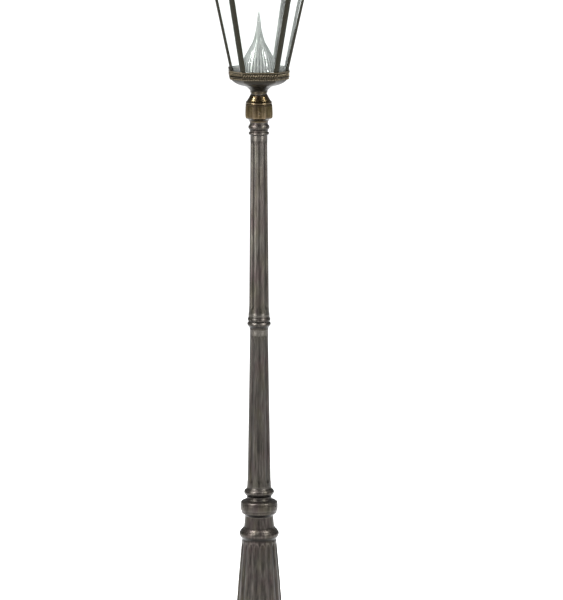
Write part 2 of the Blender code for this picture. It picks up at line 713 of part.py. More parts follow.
def mid_collar():
    """The double bead between the shafts, and the tube inside that lines them up."""
    low, high = MID_COLLAR_Z + GAP, UPPER_SHAFT_Z - GAP
    bore = SPIGOT_R + GAP
    outline = [(LOWER_TOP_R + 0.5 * MM, low), (LOWER_TOP_R + 1.5 * MM, low + 13 * MM)]
    outline += [(LOWER_TOP_R + 4.5 * MM, low + 18 * MM), (LOWER_TOP_R + 9.5 * MM, low + 23 * MM)]
    outline += [(LOWER_TOP_R + 11.5 * MM, low + 29 * MM), (LOWER_TOP_R + 9 * MM, low + 35 * MM)]
    outline += [(UPPER_FOOT_R + 1 * MM, low + 40 * MM), (UPPER_FOOT_R + 3.5 * MM, low + 44 * MM)]
    outline += [(UPPER_FOOT_R + 5.2 * MM, low + 49 * MM), (UPPER_FOOT_R + 3.8 * MM, low + 55 * MM)]
    outline += [
        (UPPER_FOOT_R + 2.5 * MM, low + 59 * MM), (UPPER_FOOT_R + 2 * MM, high), (bore, high),
        (bore, low)
    ]
    turned("mid_collar", outline, PEWTER)
    foot, top = MID_COLLAR_Z - SPIGOT_REACH, UPPER_SHAFT_Z + SPIGOT_REACH
    tube = [
        (SPIGOT_R, foot), (SPIGOT_R, top), (SPIGOT_R - SPIGOT_WALL, top),
        (SPIGOT_R - SPIGOT_WALL, foot)
    ]
    turned("spigot", tube, STEEL, sides=32)


def capital():
    """The thin disc and round bead at the top of the shaft, threaded over the shaft's tenon."""
    low, high = CAPITAL_Z + GAP, COUPLING_Z - GAP
    bore = UPPER_TENON_R + GAP
    outline = [(UPPER_TOP_R + 1 * MM, low), (UPPER_TOP_R + 6.5 * MM, low + 3 * MM)]
    outline += [(UPPER_TOP_R + 7.6 * MM, low + 7.5 * MM), (UPPER_TOP_R + 6 * MM, low + 10.5 * MM)]
    outline += [(UPPER_TOP_R + 2.2 * MM, low + 13 * MM), (UPPER_TOP_R + 2.6 * MM, low + 22 * MM)]
    outline += arc_points((UPPER_TOP_R + 2.6 * MM, low + 35.5 * MM), 6.4 * MM, -75, 75, 3)
    outline += [
        (UPPER_TOP_R + 2 * MM, low + 50 * MM), (UPPER_TOP_R + 3 * MM, high), (bore, high),
        (bore, low)
    ]
    turned("capital", outline, PEWTER)


def coupling():
    """The eight-sided block and round bell, cast in one, with two screws that grip the tenon."""
    low, high = COUPLING_Z + GAP, COUPLING_TOP_Z
    share = TAN_OCTANT
    angles = bowl_angles(share, 4, 4)
    outline = [
        (UPPER_TOP_R + 4 * MM, 0, 1.0), (UPPER_TOP_R + 10.5 * MM, 9 * MM, 0.6),
        (COUPLING_HALF - 3 * MM, 13 * MM, 0.1)
    ]
    outline += [
        (COUPLING_HALF, 18 * MM, 0.0), (COUPLING_HALF, 45 * MM, 0.0),
        (COUPLING_HALF - 1.5 * MM, 70 * MM, 0.0)
    ]
    outline += [(COUPLING_HALF - 3.5 * MM, 74 * MM, 0.5), (COUPLING_HALF - 1.5 * MM, 78 * MM, 1.0)]
    outline += [(COUPLING_HALF - 3 * MM, 86 * MM, 1.0), (COUPLING_HALF - 10 * MM, 95 * MM, 1.0)]
    outline += [(COUPLING_TOP_R + 6.5 * MM, 104 * MM, 1.0), (COUPLING_TOP_R + 2 * MM, 113 * MM, 1.0)]
    rings = [bowl_ring(half, low + rise, roundness, share, angles) for half, rise, roundness in outline]
    tenon_bore, stem_bore = UPPER_TENON_R + GAP, STEM_R + GAP
    tenon_top = CAPITAL_Z - GAP + UPPER_TENON_LENGTH
    rings.append(bowl_ring(COUPLING_TOP_R, high, 1.0, share, angles))
    for r, z in (
        (stem_bore, high), (stem_bore, tenon_top + GAP), (tenon_bore, tenon_top + GAP),
        (tenon_bore, low)
    ):
        rings.append(bowl_ring(r, z, 1.0, share, angles))
    body = add_piece("coupling", skin(rings, True), BRASS)
    screw_z = COUPLING_Z + 42 * MM
    for label, side in (("front", -1), ("rear", 1)):
        hole = rod(
            f"coupling_hole_{label}",
            (0, side * (tenon_bore - OVERSHOOT), screw_z),
            (0, side * (COUPLING_HALF + OVERSHOOT), screw_z),
            COUPLING_SCREW_R + GAP,
            sides=16,
        )
        combine(body, hole, "DIFFERENCE")
        rod(
            f"coupling_screw_{label}",
            (0, side * tenon_bore, screw_z),
            (0, side * (COUPLING_HALF - 2 * MM), screw_z),
            COUPLING_SCREW_R,
            STEEL,
            12,
        )
    washer = [(COUPLING_TOP_R - 1 * MM, high + GAP), (COUPLING_TOP_R - 1 * MM, high + GAP + GASKET_T)]
    washer += [(stem_bore, high + GAP + GASKET_T), (stem_bore, high + GAP)]
    turned("neck_gasket", washer, RUBBER, 32)


def stem():
    """The threaded stem that ties the tray to the coupling, and the nut on the tray's floor."""
    nut_low = TRAY_FLOOR_Z + GAP
    nut_high = nut_low + 10 * MM
    low = CAPITAL_Z + UPPER_TENON_LENGTH + GAP
    high = nut_high + 4 * MM
    turned("stem", [(STEM_R, low), (STEM_R, high), (STEM_BORE_R, high), (STEM_BORE_R, low)], STEEL, 32)
    outer = 21 * MM
    rings = [round_ring(outer, nut_low, 6), round_ring(outer, nut_high, 6)]
    nut = add_piece("stem_nut", skin(rings, False), STEEL)
    bore = rod(
        "nut_bore", (0, 0, nut_low - OVERSHOOT), (0, 0, nut_high + OVERSHOOT), STEM_R + GAP,
        sides=32
    )
    combine(nut, bore, "DIFFERENCE")


# ---------------------------------------------------------------- lantern


def tray():
    """The bowl under the glass: round at its neck, cut-cornered at its moulded rim."""
    share = RIM_FRONT / RIM_HALF
    angles = bowl_angles(share)
    neck = COUPLING_TOP_R
    # half-width over the neck or the rim, distance below the rim, and how round the plan is
    bell = [
        (0, 0, 106.3, 1), (0, 0, 96, 1), (3, 0, 91, 1), (8, 0, 87, 1), (12.5, 0, 82, 1),
        (18.5, 0, 77, 1)
    ]
    outline = [(neck + by * MM, RIM_Z - drop * MM, turn) for by, _, drop, turn in bell]
    flare = [
        (-61.5, 72, 0.9), (-47, 66, 0.7), (-33, 59, 0.5), (-23, 50, 0.3), (-13, 40, 0.15),
        (-3, 31, 0.0)
    ]
    band = [(2, 25, 0.0), (4, 20, 0.0), (7.5, 13, 0.0), (7.5, 7, 0.0), (4, 1, 0.0), (3, 0, 0.0)]
    outline += [(RIM_HALF + by * MM, RIM_Z - drop * MM, turn) for by, drop, turn in flare + band]
    rings = [bowl_ring(half, z, turn, share, angles) for half, z, turn in outline]
    inner_rim = RIM_HALF - BAR_T - GLASS_T - 3 * MM
    hollow = [
        (inner_rim, RIM_Z, 0.0), (inner_rim, RIM_Z - 22 * MM, 0.0),
        (inner_rim - 13 * MM, RIM_Z - 34 * MM, 0.2)
    ]
    hollow += [
        (inner_rim - 36 * MM, TRAY_FLOOR_Z + 2 * MM, 0.6), (inner_rim - 44 * MM, TRAY_FLOOR_Z, 0.8)
    ]
    hollow += [(STEM_R + GAP, TRAY_FLOOR_Z, 1.0), (STEM_R + GAP, TRAY_Z, 1.0)]
    rings += [bowl_ring(half, z, turn, share, angles) for half, z, turn in hollow]
    add_piece("tray", skin(rings, True), BRONZE)


CORNER_NAMES = ("front_left", "front_right", "right_front", "right_rear")
CORNER_NAMES += ("rear_right", "rear_left", "left_rear", "left_front")
PANE_NAMES = ("front", "front_right", "right", "rear_right", "rear", "rear_left", "left", "front_left")


def inward(start, end):
    """The level direction into the lantern, square to the face between two neighbouring corners."""
    along = (end - start).normalized()
    return Vector((-along.y, along.x, 0.0))


def lantern_frame():
    """Eight corner bars, eight panes behind them, and the ring that holds their tops."""
    low, high = RIM_Z + GAP, FRAME_Z - GAP
    levels = [cut_corner(*glass_plan(z), z) for z in (low, high)]
    for k in range(8):
        bar_rings, pane_rings = [], []
        for corners in levels:
            before, here, after = corners[k - 1], corners[k], corners[(k + 1) % 8]
            into_before, into_after = inward(before, here), inward(here, after)
            leg_before = here + (before - here).normalized() * BAR_LEG
            leg_after = here + (after - here).normalized() * BAR_LEG
            heel = here + (into_before + into_after) * BAR_T / (1 + into_before.dot(into_after))
            ring = [leg_before, here, leg_after, leg_after + into_after * BAR_T]
            bar_rings.append(ring + [heel, leg_before + into_before * BAR_T])
            along = (after - here).normalized()
            outer, inner = BAR_T + GAP, BAR_T + GAP + GLASS_T
            left, right = here + along * GLASS_EDGE, after - along * GLASS_EDGE
            ring = [left + into_after * outer, right + into_after * outer]
            pane_rings.append(ring + [right + into_after * inner, left + into_after * inner])
        add_piece(f"bar_{CORNER_NAMES[k]}", skin(bar_rings, False), BRONZE)
        add_piece(f"pane_{PANE_NAMES[k]}", skin(pane_rings, False), GLASS)
    top_plan = glass_plan(FRAME_Z)
    outer = grown(*top_plan, EAVES_HALF - top_plan[0])
    below = grown(*top_plan, 2 * MM)
    inner = grown(*top_plan, -(BAR_T + GLASS_T + 5 * MM))
    base, top = FRAME_Z, HOOD_Z - GAP
    step = 6 * MM
    rings = [cut_corner(*below, base), cut_corner(*outer, base + step), cut_corner(*outer, top)]
    rings += [cut_corner(*inner, top), cut_corner(*inner, base)]
    add_piece("top_frame", skin(rings, True), BRONZE)


def refractor_radius(share):
    """The outer radius of the glass cone, by its share of the height."""
    for (low, low_r), (high, high_r) in zip(REFRACTOR_OUTLINE, REFRACTOR_OUTLINE[1:]):
        if share <= high:
            break
    return REFRACTOR_R * (low_r + (high_r - low_r) * (share - low) / (high - low))


def lamp_share():
    """How far up the cone the middle of the lamp's round end can sit, as a share of its height."""
    steps = 60
    highest = REFRACTOR_HOLLOW - (LAMP_R + LAMP_ROOM) / REFRACTOR_HEIGHT
    shares = [highest * i / steps for i in range(steps + 1)]
    return max(s for s in shares if refractor_radius(s) - REFRACTOR_WALL > LAMP_R + LAMP_ROOM)


def lamp_group():
    """The white gallery in the tray, the lampholder, the lamp, and the ribbed glass cone over them."""
    foot_r, flange_r = 30 * MM, REFRACTOR_R + 4 * MM
    low, high = TRAY_FLOOR_Z + GAP, GALLERY_Z
    bore = 24 * MM
    outline = [
        (foot_r, low), (foot_r, low + 18 * MM), (flange_r - 8 * MM, high - 10 * MM),
        (flange_r, high - 6 * MM)
    ]
    outline += [(flange_r, high), (CABLE_R + 2 * MM, high), (CABLE_R + 2 * MM, high - 6 * MM)]
    outline += [(bore, high - 12 * MM), (bore, low)]
    turned("lamp_gallery", outline, WHITE)
    holder = [
        (HOLDER_R, high + GAP), (HOLDER_R, high + 30 * MM),
        (HOLDER_R - 1.5 * MM, high + HOLDER_HEIGHT)
    ]
    socket_r = 14 * MM
    holder += [(socket_r, high + HOLDER_HEIGHT), (socket_r, high + 12 * MM), (CABLE_R, high + 12 * MM)]
    holder += [(CABLE_R, high + GAP)]
    turned("lampholder", holder, WHITE, 20)
    cap_r = socket_r - 0.7 * MM
    start = high + 14 * MM
    rise = high + HOLDER_HEIGHT + 2 * MM
    bulb = [
        (cap_r - 4 * MM, start), (cap_r, start + 3 * MM), (cap_r, rise),
        (cap_r + 3 * MM, rise + 10 * MM)
    ]
    centre = high + REFRACTOR_HEIGHT * lamp_share()
    bulb += arc_points((0, centre), LAMP_R, -35, 84, 7)
    turned("lamp", bulb, WHITE, 20, loop=False)
    foot = high + GAP
    outer = [(REFRACTOR_R * part, foot + REFRACTOR_HEIGHT * share) for share, part in REFRACTOR_OUTLINE]
    shares = [share for share, _ in REFRACTOR_OUTLINE if share < REFRACTOR_HOLLOW] + [REFRACTOR_HOLLOW]
    inner = [
        (refractor_radius(share) - REFRACTOR_WALL, foot + REFRACTOR_HEIGHT * share) for share in shares
    ]
    rings = [round_ring(r, z, 24) for r, z in outer[::-1]]
    rings += [round_ring(r, z, 24) for r, z in inner]
    add_piece("refractor", skin(rings, False), GLASS)


# ---------------------------------------------------------------- hood


def hood_plan(half):
    """The hood keeps the top frame's proportions: a cut-corner plan of the half-width given."""
    top_plan = glass_plan(FRAME_Z)
    full = grown(*top_plan, EAVES_HALF - top_plan[0])
    return half, full[1] * half / full[0]


def hood():
    """The hood: an upright fascia, a swept eight-sided roof, and a flat ring that carries the chimney."""
    sweep = [(0.0, 0.0), (0.10, 0.07), (0.34, 0.20), (0.62, 0.43), (0.84, 0.72), (1.0, 1.0)]
    span = EAVES_HALF - 8 * MM - HOOD_TOP_HALF
    base = HOOD_Z + FASCIA_HEIGHT
    outer = [(EAVES_HALF, HOOD_Z), (EAVES_HALF, base)]
    outer += [(EAVES_HALF - 8 * MM - span * run, base + HOOD_RISE * rise) for run, rise in sweep]
    inner = [(half - HOOD_WALL, z - HOOD_WALL) for half, z in outer[3:]]
    hole = CHIMNEY_R - CHIMNEY_WALL
    top = [(hole, HOOD_TOP_Z), (hole, HOOD_TOP_Z - HOOD_WALL)]
    under = [(EAVES_HALF - HOOD_WALL, base - HOOD_WALL), (EAVES_HALF - HOOD_WALL, HOOD_Z)]
    rows = outer + top + inner[::-1] + under
    rings = [cut_corner(*hood_plan(half), z) for half, z in rows]
    roof = add_piece("hood", skin(rings, True), BRONZE, 20)

    reflector_low = HOOD_Z + 4 * MM
    edge = EAVES_HALF - HOOD_WALL - GAP
    pan = [
        (edge, reflector_low), (edge, reflector_low + 2 * MM),
        (edge - 30 * MM, reflector_low + 8 * MM)
    ]
    pan += [
        (40 * MM, reflector_low + 22 * MM), (40 * MM, reflector_low + 20 * MM),
        (edge - 30 * MM, reflector_low + 6 * MM)
    ]
    rings = [cut_corner(*hood_plan(half), z) for half, z in pan]
    reflector = add_piece("reflector", skin(rings, True), WHITE, 20)
    return [roof, reflector] + chimney()


def chimney():
    """The slotted chimney, its domed cap and the turned finial."""
    low, high = HOOD_TOP_Z + GAP, CHIMNEY_TOP_Z - GAP
    r, wall = CHIMNEY_R, CHIMNEY_WALL
    outline = [
        (HOOD_TOP_HALF - 6 * MM, low), (HOOD_TOP_HALF - 6 * MM, low + 4 * MM),
        (r + 3 * MM, low + 8 * MM), (r, low + 12 * MM)
    ]
    outline += [
        (r, high - 6 * MM), (r + 2 * MM, high - 4 * MM), (r + 2 * MM, high), (r - wall, high),
        (r - wall, low)
    ]
    drum = turned("chimney", outline, BRONZE)
    slot_half = 4 * MM
    for k in range(6):
        angle = k * pi / 6
        way = Vector((cos(angle), sin(angle), 0.0))
        side = Vector((-way.y, way.x, 0.0)) * slot_half
        reach = way * (r + 2 * OVERSHOOT)
        flat = (reach + side, -reach + side, -reach - side, reach - side)
        rings = [[point + Vector((0, 0, z)) for point in flat] for z in (low + 18 * MM, high - 12 * MM)]
        combine(drum, add_piece(f"chimney_slot_{k}", skin(rings, False), None), "DIFFERENCE")
    cap_low = CHIMNEY_TOP_Z
    dome = [
        (VENT_CAP_R, cap_low), (VENT_CAP_R, cap_low + 4 * MM),
        (VENT_CAP_R - 12 * MM, cap_low + 12 * MM)
    ]
    dome += [(VENT_CAP_R - 28 * MM, cap_low + 26 * MM), (16 * MM, FINIAL_Z - GAP)]
    dome += [
        (6 * MM, FINIAL_Z - GAP), (6 * MM, FINIAL_Z - 8 * MM),
        (VENT_CAP_R - 32 * MM, cap_low + 20 * MM)
    ]
    dome += [(VENT_CAP_R - 18 * MM, cap_low + 6 * MM), (VENT_CAP_R - 18 * MM, cap_low)]
    cap = turned("vent_cap", dome, BRONZE)
    z, h = FINIAL_Z, FINIAL_HEIGHT
    turning = [(15 * MM, z), (15 * MM, z + 5 * MM), (8 * MM, z + 12 * MM)]
    turning += arc_points((0, z + 34 * MM), 18 * MM, -60, 60, 6)
    turning += [(7 * MM, z + 54 * MM), (10 * MM, z + 59 * MM), (7 * MM, z + 64 * MM)]
    turning += [(9 * MM, z + 76 * MM), (4 * MM, z + 0.86 * h), (1 * MM, z + h)]
    finial = turned("finial", turning, BRONZE, 20, loop=False)
    return [drum, cap, finial]


def hood_hinge_axis():
    """The hood's hinge axis: level, along X, just behind the rear eaves."""
    return EAVES_HALF + HINGE_LEAF_T + HINGE_KNUCKLE_R - 1 * MM, HOOD_Z


def hood_hinge():
    """The fixed bracket with two ears, the moving leaf with one knuckle, and their pin."""
    y, z = hood_hinge_axis()
    half = HINGE_KNUCKLE_LENGTH / 2
    ear = 18 * MM
    reach = half + GAP + ear
    plate_y = (EAVES_HALF + GAP, EAVES_HALF + GAP + HINGE_LEAF_T)
    plate_low = FRAME_Z + 7 * MM
    bracket = block(
        "hinge_bracket", (-reach, plate_y[0], plate_low), (reach, plate_y[1], z - 1 * MM), STEEL
    )
    for side in (-1, 1):
        start, end = side * (half + GAP), side * reach
        combine(
            bracket,
            rod(f"hinge_ear_{side}", (start, y, z), (end, y, z), HINGE_KNUCKLE_R, sides=20),
            "UNION"
        )
    notch_low = (-half - GAP, plate_y[0] - OVERSHOOT, z - HINGE_KNUCKLE_R + 1 * MM)
    notch = block("bracket_notch", notch_low, (half + GAP, plate_y[1] + OVERSHOOT, z))
    combine(bracket, notch, "DIFFERENCE")
    leaf = block(
        "hinge_leaf", (-half, plate_y[0], z + 1 * MM),
        (half, plate_y[1], z + FASCIA_HEIGHT - 2 * MM), STEEL
    )
    combine(leaf, rod("hinge_knuckle", (-half, y, z), (half, y, z), HINGE_KNUCKLE_R, sides=20), "UNION")
    for target, length in ((bracket, reach), (leaf, half)):
        start, end = (-length - OVERSHOOT, y, z), (length + OVERSHOOT, y, z)
        combine(
            target, rod(f"{target.name}_bore", start, end, HINGE_PIN_R + GAP, sides=20),
            "DIFFERENCE"
        )
    head = [
        (HINGE_PIN_R + 2 * MM, 0.0), (HINGE_PIN_R + 2 * MM, 3 * MM), (HINGE_PIN_R, 3 * MM),
        (HINGE_PIN_R, 2 * reach + 6 * MM)
    ]
    profile_rod("hinge_pin", (-reach - 3 * MM - GAP, y, z), (1, 0, 0), head, STEEL, 20)
    return leaf


def catch_places():
    """The catch's pivot on the top frame, and its stud on the hood's fascia."""
    pivot_z = HOOD_Z - CATCH_REACH / 2
    return pivot_z, pivot_z + CATCH_REACH


def hood_catch():
    """A swing hook on the frame, its thumb knob, and the stud it grips. It is drawn released."""
    pivot_z, stud_z = catch_places()
    half = CATCH_WIDTH / 2
    front = -(EAVES_HALF + 0.8 * MM)
    slot_low, slot_high = CATCH_REACH - STUD_R - 3.2 * MM, CATCH_REACH + STUD_R + 0.8 * MM
    depth = STUD_R + 0.6 * MM
    end = slot_high + 6 * MM
    outline = [(end, -half + 2 * MM), (end, half), (slot_high, half), (slot_high, -depth)]
    outline += [(slot_low, -depth), (slot_low, half), (0.0, half)]
    outline += arc_points((0.0, 0.0), half, 110, 250, 6) + [(0.0, -half), (end - 2 * MM, -half)]
    flat = [(x, pivot_z + z) for x, z in outline]
    hook = plate("hood_catch", flat, front, front - CATCH_T, BRASS)
    hole_r = PIVOT_R + GAP
    hole = rod(
        "catch_hole", (0, front + OVERSHOOT, pivot_z), (0, front - CATCH_T - OVERSHOOT, pivot_z),
        hole_r, sides=16
    )
    combine(hook, hole, "DIFFERENCE")
    hang_on_axis("hood_catch_axis", (0, front, pivot_z), [hook])
    start = EAVES_HALF + GAP
    shank = 0.8 * MM - GAP + CATCH_T + 0.4 * MM
    reach = hood_hinge_axis()[0] + HINGE_KNUCKLE_R - start
    screw = [(PIVOT_R, 0.0), (PIVOT_R, shank), (half, shank), (half, shank + 2.5 * MM)]
    screw += [(half - 3 * MM, shank + 4 * MM), (half - 1 * MM, reach - 1.5 * MM), (half - 2 * MM, reach)]
    profile_rod("catch_screw", (0, -start, pivot_z), (0, -1, 0), screw, STEEL, 16)
    peg = [
        (STUD_R, 0.0), (STUD_R, shank), (STUD_R + 2 * MM, shank),
        (STUD_R + 2 * MM, shank + 2.5 * MM)
    ]
    return profile_rod("catch_stud", (0, -start, stud_z), (0, -1, 0), peg, STEEL, 16)


# ---------------------------------------------------------------- the whole post


def build():
    clear_scene()
    base_casting()
    access_door()
    service_gear()
    base_collar()
    shafts()
    mid_collar()
    capital()
    coupling()
    stem()
    tray()
    lantern_frame()
    lamp_group()
    moving = hood()
    moving += [hood_hinge(), hood_catch()]
    y, z = hood_hinge_axis()
    hang_on_axis("hood_axis", (0, y, z), moving)


build()
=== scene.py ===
# %% [markdown]
# # A cast street lamp post, built piece by piece
#
# The CAD frame holds every piece at its true size and place. This lesson makes finer pieces for
# the ones that are seen, which ride on the same moving bodies. Each cell prints what it made.
# Sizes are in millimetres, and `MM` turns them into Blender's metres.

# %% Load the CAD frame
import json
import math

import bmesh
import bpy
from mathutils import Matrix, Vector


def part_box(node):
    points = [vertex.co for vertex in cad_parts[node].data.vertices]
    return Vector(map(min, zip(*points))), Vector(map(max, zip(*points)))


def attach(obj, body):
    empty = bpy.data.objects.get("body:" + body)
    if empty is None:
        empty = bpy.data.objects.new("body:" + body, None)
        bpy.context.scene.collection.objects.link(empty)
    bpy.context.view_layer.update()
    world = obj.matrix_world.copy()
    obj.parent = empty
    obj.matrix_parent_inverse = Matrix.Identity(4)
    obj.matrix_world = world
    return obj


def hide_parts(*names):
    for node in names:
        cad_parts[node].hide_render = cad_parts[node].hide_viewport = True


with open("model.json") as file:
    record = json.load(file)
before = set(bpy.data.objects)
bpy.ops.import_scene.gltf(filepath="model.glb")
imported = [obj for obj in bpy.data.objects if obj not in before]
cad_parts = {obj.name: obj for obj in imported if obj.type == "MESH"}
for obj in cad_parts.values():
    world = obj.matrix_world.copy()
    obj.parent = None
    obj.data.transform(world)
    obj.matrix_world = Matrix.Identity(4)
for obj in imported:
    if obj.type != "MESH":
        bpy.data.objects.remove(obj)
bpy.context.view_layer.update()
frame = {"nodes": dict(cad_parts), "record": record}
print("CAD nodes:", len(frame["nodes"]))

# %% [markdown]
# ## Units, and choosing things by their place
#
# An edit-mode operator acts on whatever is selected. So each step first deselects all, and then
# selects points or faces by where they are, which can be repeated exactly.

# %% Units
MM = 0.001
WELD = 2e-6  # vertices closer than this many metres are made one
TURN = 2 * math.pi
HALF_SIDE = TURN / 16  # half of the angle that one side of an eight-sided ring takes up
print("One turn:", round(TURN, 4), "radians")


# %% Select by place
def only(*pieces):
    """Selects just these objects and makes the first one active."""
    bpy.ops.object.select_all(action="DESELECT")
    for piece in pieces:
        piece.select_set(True)
    bpy.context.view_layer.objects.active = pieces[0]
    return pieces[0]


def pick(test, kind="verts"):
    """In edit mode, selects the vertices or the faces whose middle passes the test."""
    mesh = bmesh.from_edit_mesh(bpy.context.object.data)
    bpy.ops.mesh.select_mode(type="VERT" if kind == "verts" else "FACE")
    bpy.ops.mesh.select_all(action="DESELECT")
    count = 0
    for item in getattr(mesh, kind):
        place = item.co if kind == "verts" else item.calc_center_median()
        if test(place / MM):
            item.select_set(True)
            count += 1
    mesh.select_flush_mode()
    bmesh.update_edit_mesh(bpy.context.object.data)
    return count


def leave(piece, angle=30.0):
    """Closes edit mode, faces everything outward and shades by angle."""
    if bpy.context.object.mode != "EDIT":
        only(piece)
        bpy.ops.object.mode_set(mode="EDIT")
    bpy.ops.mesh.select_all(action="SELECT")
    bpy.ops.mesh.remove_doubles(threshold=WELD)
    bpy.ops.mesh.normals_make_consistent(inside=False)
    bpy.ops.object.mode_set(mode="OBJECT")
    only(piece)
    bpy.ops.object.transform_apply()
    bpy.ops.object.shade_smooth_by_angle(angle=math.radians(angle))
    return piece


print("Selection helpers are ready")


# %% [markdown]
# ## Outlines
#
# A turned piece is described by its outline: a list of (radius, height) points. A smooth run
# needs only a few, because a spline fills in the rest. A straight run is cut
# into short steps, so there are vertices to press flutes into.

# %% Outlines
def curve(points, cuts=4):
    """A smooth run of (radius, height) points through the ones given."""
    run = []
    for i in range(len(points) - 1):
        a, b = Vector(points[max(i - 1, 0)]), Vector(points[i])
        c, d = Vector(points[i + 1]), Vector(points[min(i + 2, len(points) - 1)])
        for k in range(cuts):
            t = k / cuts
            spot = b * 2 + (c - a) * t + (a * 2 - b * 5 + c * 4 - d) * t * t
            spot += (b * 3 - a - c * 3 + d) * t ** 3
            run.append(tuple(spot / 2))
    run.append(tuple(points[-1]))
    return run


def line(points, step):
    """Straight runs between the points, cut about every step."""
    run = [tuple(points[0])]
    for (r0, z0), (r1, z1) in zip(points, points[1:]):
        cuts = max(1, round(math.dist((r0, z0), (r1, z1)) / step))
        run += [(r0 + (r1 - r0) * k / cuts, z0 + (z1 - z0) * k / cuts) for k in range(1, cuts + 1)]
    return run


print("A curve through three points has", len(curve([(0, 0), (1, 1), (2, 0)])), "points")


# %% [markdown]
# ## Turned pieces
#
# Most of the post is round, as if made on a lathe. A small plane is merged to one point, which is
# extruded along the outline, and the outline is spun one full turn about the post's axis.
# Stacked cylinders would leave hard steps where the real piece has coves and beads.

# %% Turn an outline
def start_point(name, r, z):
    """A new object in edit mode that holds one selected vertex."""
    bpy.ops.mesh.primitive_plane_add(size=0.01)
    piece = bpy.context.object
    piece.name = piece.data.name = name
    bpy.ops.object.mode_set(mode="EDIT")
    bpy.ops.mesh.select_mode(type="VERT")
    bpy.ops.mesh.select_all(action="SELECT")
    bpy.ops.mesh.merge(type="CENTER")
    bpy.ops.mesh.select_all(action="SELECT")
    bpy.ops.transform.translate(value=(r * MM, 0.0, z * MM))
    return piece


def turned(name, outline, steps=96, closed=True, angle=30.0, done=True):
    """Draws the outline point by point and spins it. A closed outline makes a ring or a tube."""
    piece = start_point(name, *outline[0])
    for (r0, z0), (r1, z1) in zip(outline, outline[1:]):
        move = ((r1 - r0) * MM, 0.0, (z1 - z0) * MM)
        bpy.ops.mesh.extrude_vertices_move(TRANSFORM_OT_translate={"value": move})
    if closed:
        mesh = bmesh.from_edit_mesh(piece.data)
        ends = [v for v in mesh.verts if len(v.link_edges) == 1]
        bpy.ops.mesh.select_all(action="DESELECT")
        for end in ends:
            end.select_set(True)
        bpy.ops.mesh.edge_face_add()
    bpy.ops.mesh.select_all(action="SELECT")
    bpy.ops.mesh.spin(steps=steps, angle=TURN, center=(0, 0, 0), axis=(0, 0, 1))
    bpy.ops.mesh.select_all(action="SELECT")
    bpy.ops.mesh.remove_doubles(threshold=WELD)
    bpy.ops.mesh.normals_make_consistent(inside=False)
    return leave(piece, angle) if done else piece


print("Turning helper is ready")


# %% [markdown]
# ## Flutes
#
# Flutes are long, shallow hollows that end in a rounded scoop. Boolean cuts would leave ragged
# edges on a tapered wall, so the vertices already on the wall are drawn inwards instead: most at
# the middle of a flute, and less near its sides and ends.

# %% Press flutes
def flute(low, high, count, half_arc, depth, end, widest, first=0.0):
    """In edit mode, presses flutes with rounded ends into a turned wall between two heights."""
    mesh = bmesh.from_edit_mesh(bpy.context.object.data)
    groups = {}
    for v in mesh.verts:
        z = v.co.z / MM
        r = v.co.xy.length / MM
        if not (low < z < high) or r < widest:
            continue
        around = math.degrees(math.atan2(v.co.y, v.co.x)) - first
        pitch = 360.0 / count
        off = abs((around + pitch / 2) % pitch - pitch / 2)
        near = min(z - low, high - z, end) / end
        share = 1 - (1 - near) ** 2 - (off / half_arc) ** 2
        if share > 0.0:
            groups.setdefault((round(z, 2), round(share, 4)), (r, []))[1].append(v)
    for (z, share), (r, members) in groups.items():
        bpy.ops.mesh.select_all(action="DESELECT")
        for v in members:
            v.select_set(True)
        inward = 1 - depth * share / r
        bpy.ops.transform.resize(value=(inward, inward, 1.0), center_override=(0, 0, z * MM))
    print("  fluted groups:", len(groups))


print("Flute helper is ready")


# %% [markdown]
# ## Cutting, joining and softening
#
# Holes are cut with helper shapes, and each Boolean is applied at once. Flat parts such as bars
# and brackets are already right in the frame. A copy with rounded edges catches the light as a
# real edge does, and weighted normals keep its flat faces flat.

# %% Cut and join
def cut(piece, tools, how="DIFFERENCE"):
    """Applies one Boolean per helper shape, then takes the helpers away."""
    for tool in tools:
        only(piece)
        step = piece.modifiers.new("step", "BOOLEAN")
        step.operation = how
        step.solver = "EXACT"
        step.object = tool
        bpy.ops.object.modifier_apply(modifier=step.name)
        bpy.data.objects.remove(tool, do_unlink=True)
    return piece


def box_piece(low, high):
    """A plain box between two corners, for cutting or for joining on."""
    low, high = Vector(low) * MM, Vector(high) * MM
    bpy.ops.mesh.primitive_cube_add(size=1.0, location=(low + high) / 2)
    tool = bpy.context.object
    tool.scale = high - low
    bpy.ops.object.transform_apply()
    return tool


def rod_piece(start, end, radius, sides=32):
    """A plain round rod between two points."""
    start, end = Vector(start) * MM, Vector(end) * MM
    way = end - start
    bpy.ops.mesh.primitive_cylinder_add(
        vertices=sides, radius=radius * MM, depth=way.length, location=(start + end) / 2,
        rotation=way.to_track_quat("Z", "Y").to_euler(),
    )
    tool = bpy.context.object
    bpy.ops.object.transform_apply()
    return tool


def spoke(angle):
    """A direction of length 1 in the ground plane, at an angle in radians."""
    return Vector((math.cos(angle), math.sin(angle), 0.0))


def merge(first, *rest):
    """Joins pieces into the first one."""
    only(first, *rest)
    bpy.ops.object.join()
    return first


print("Cutting helpers are ready")


# %% Soften a copy of a CAD node
def even(piece):
    """Lets the largest faces set the shading, so flat faces stay flat beside rounded edges."""
    only(piece)
    step = piece.modifiers.new("normals", "WEIGHTED_NORMAL")
    step.keep_sharp = True
    bpy.ops.object.modifier_apply(modifier=step.name)
    return piece


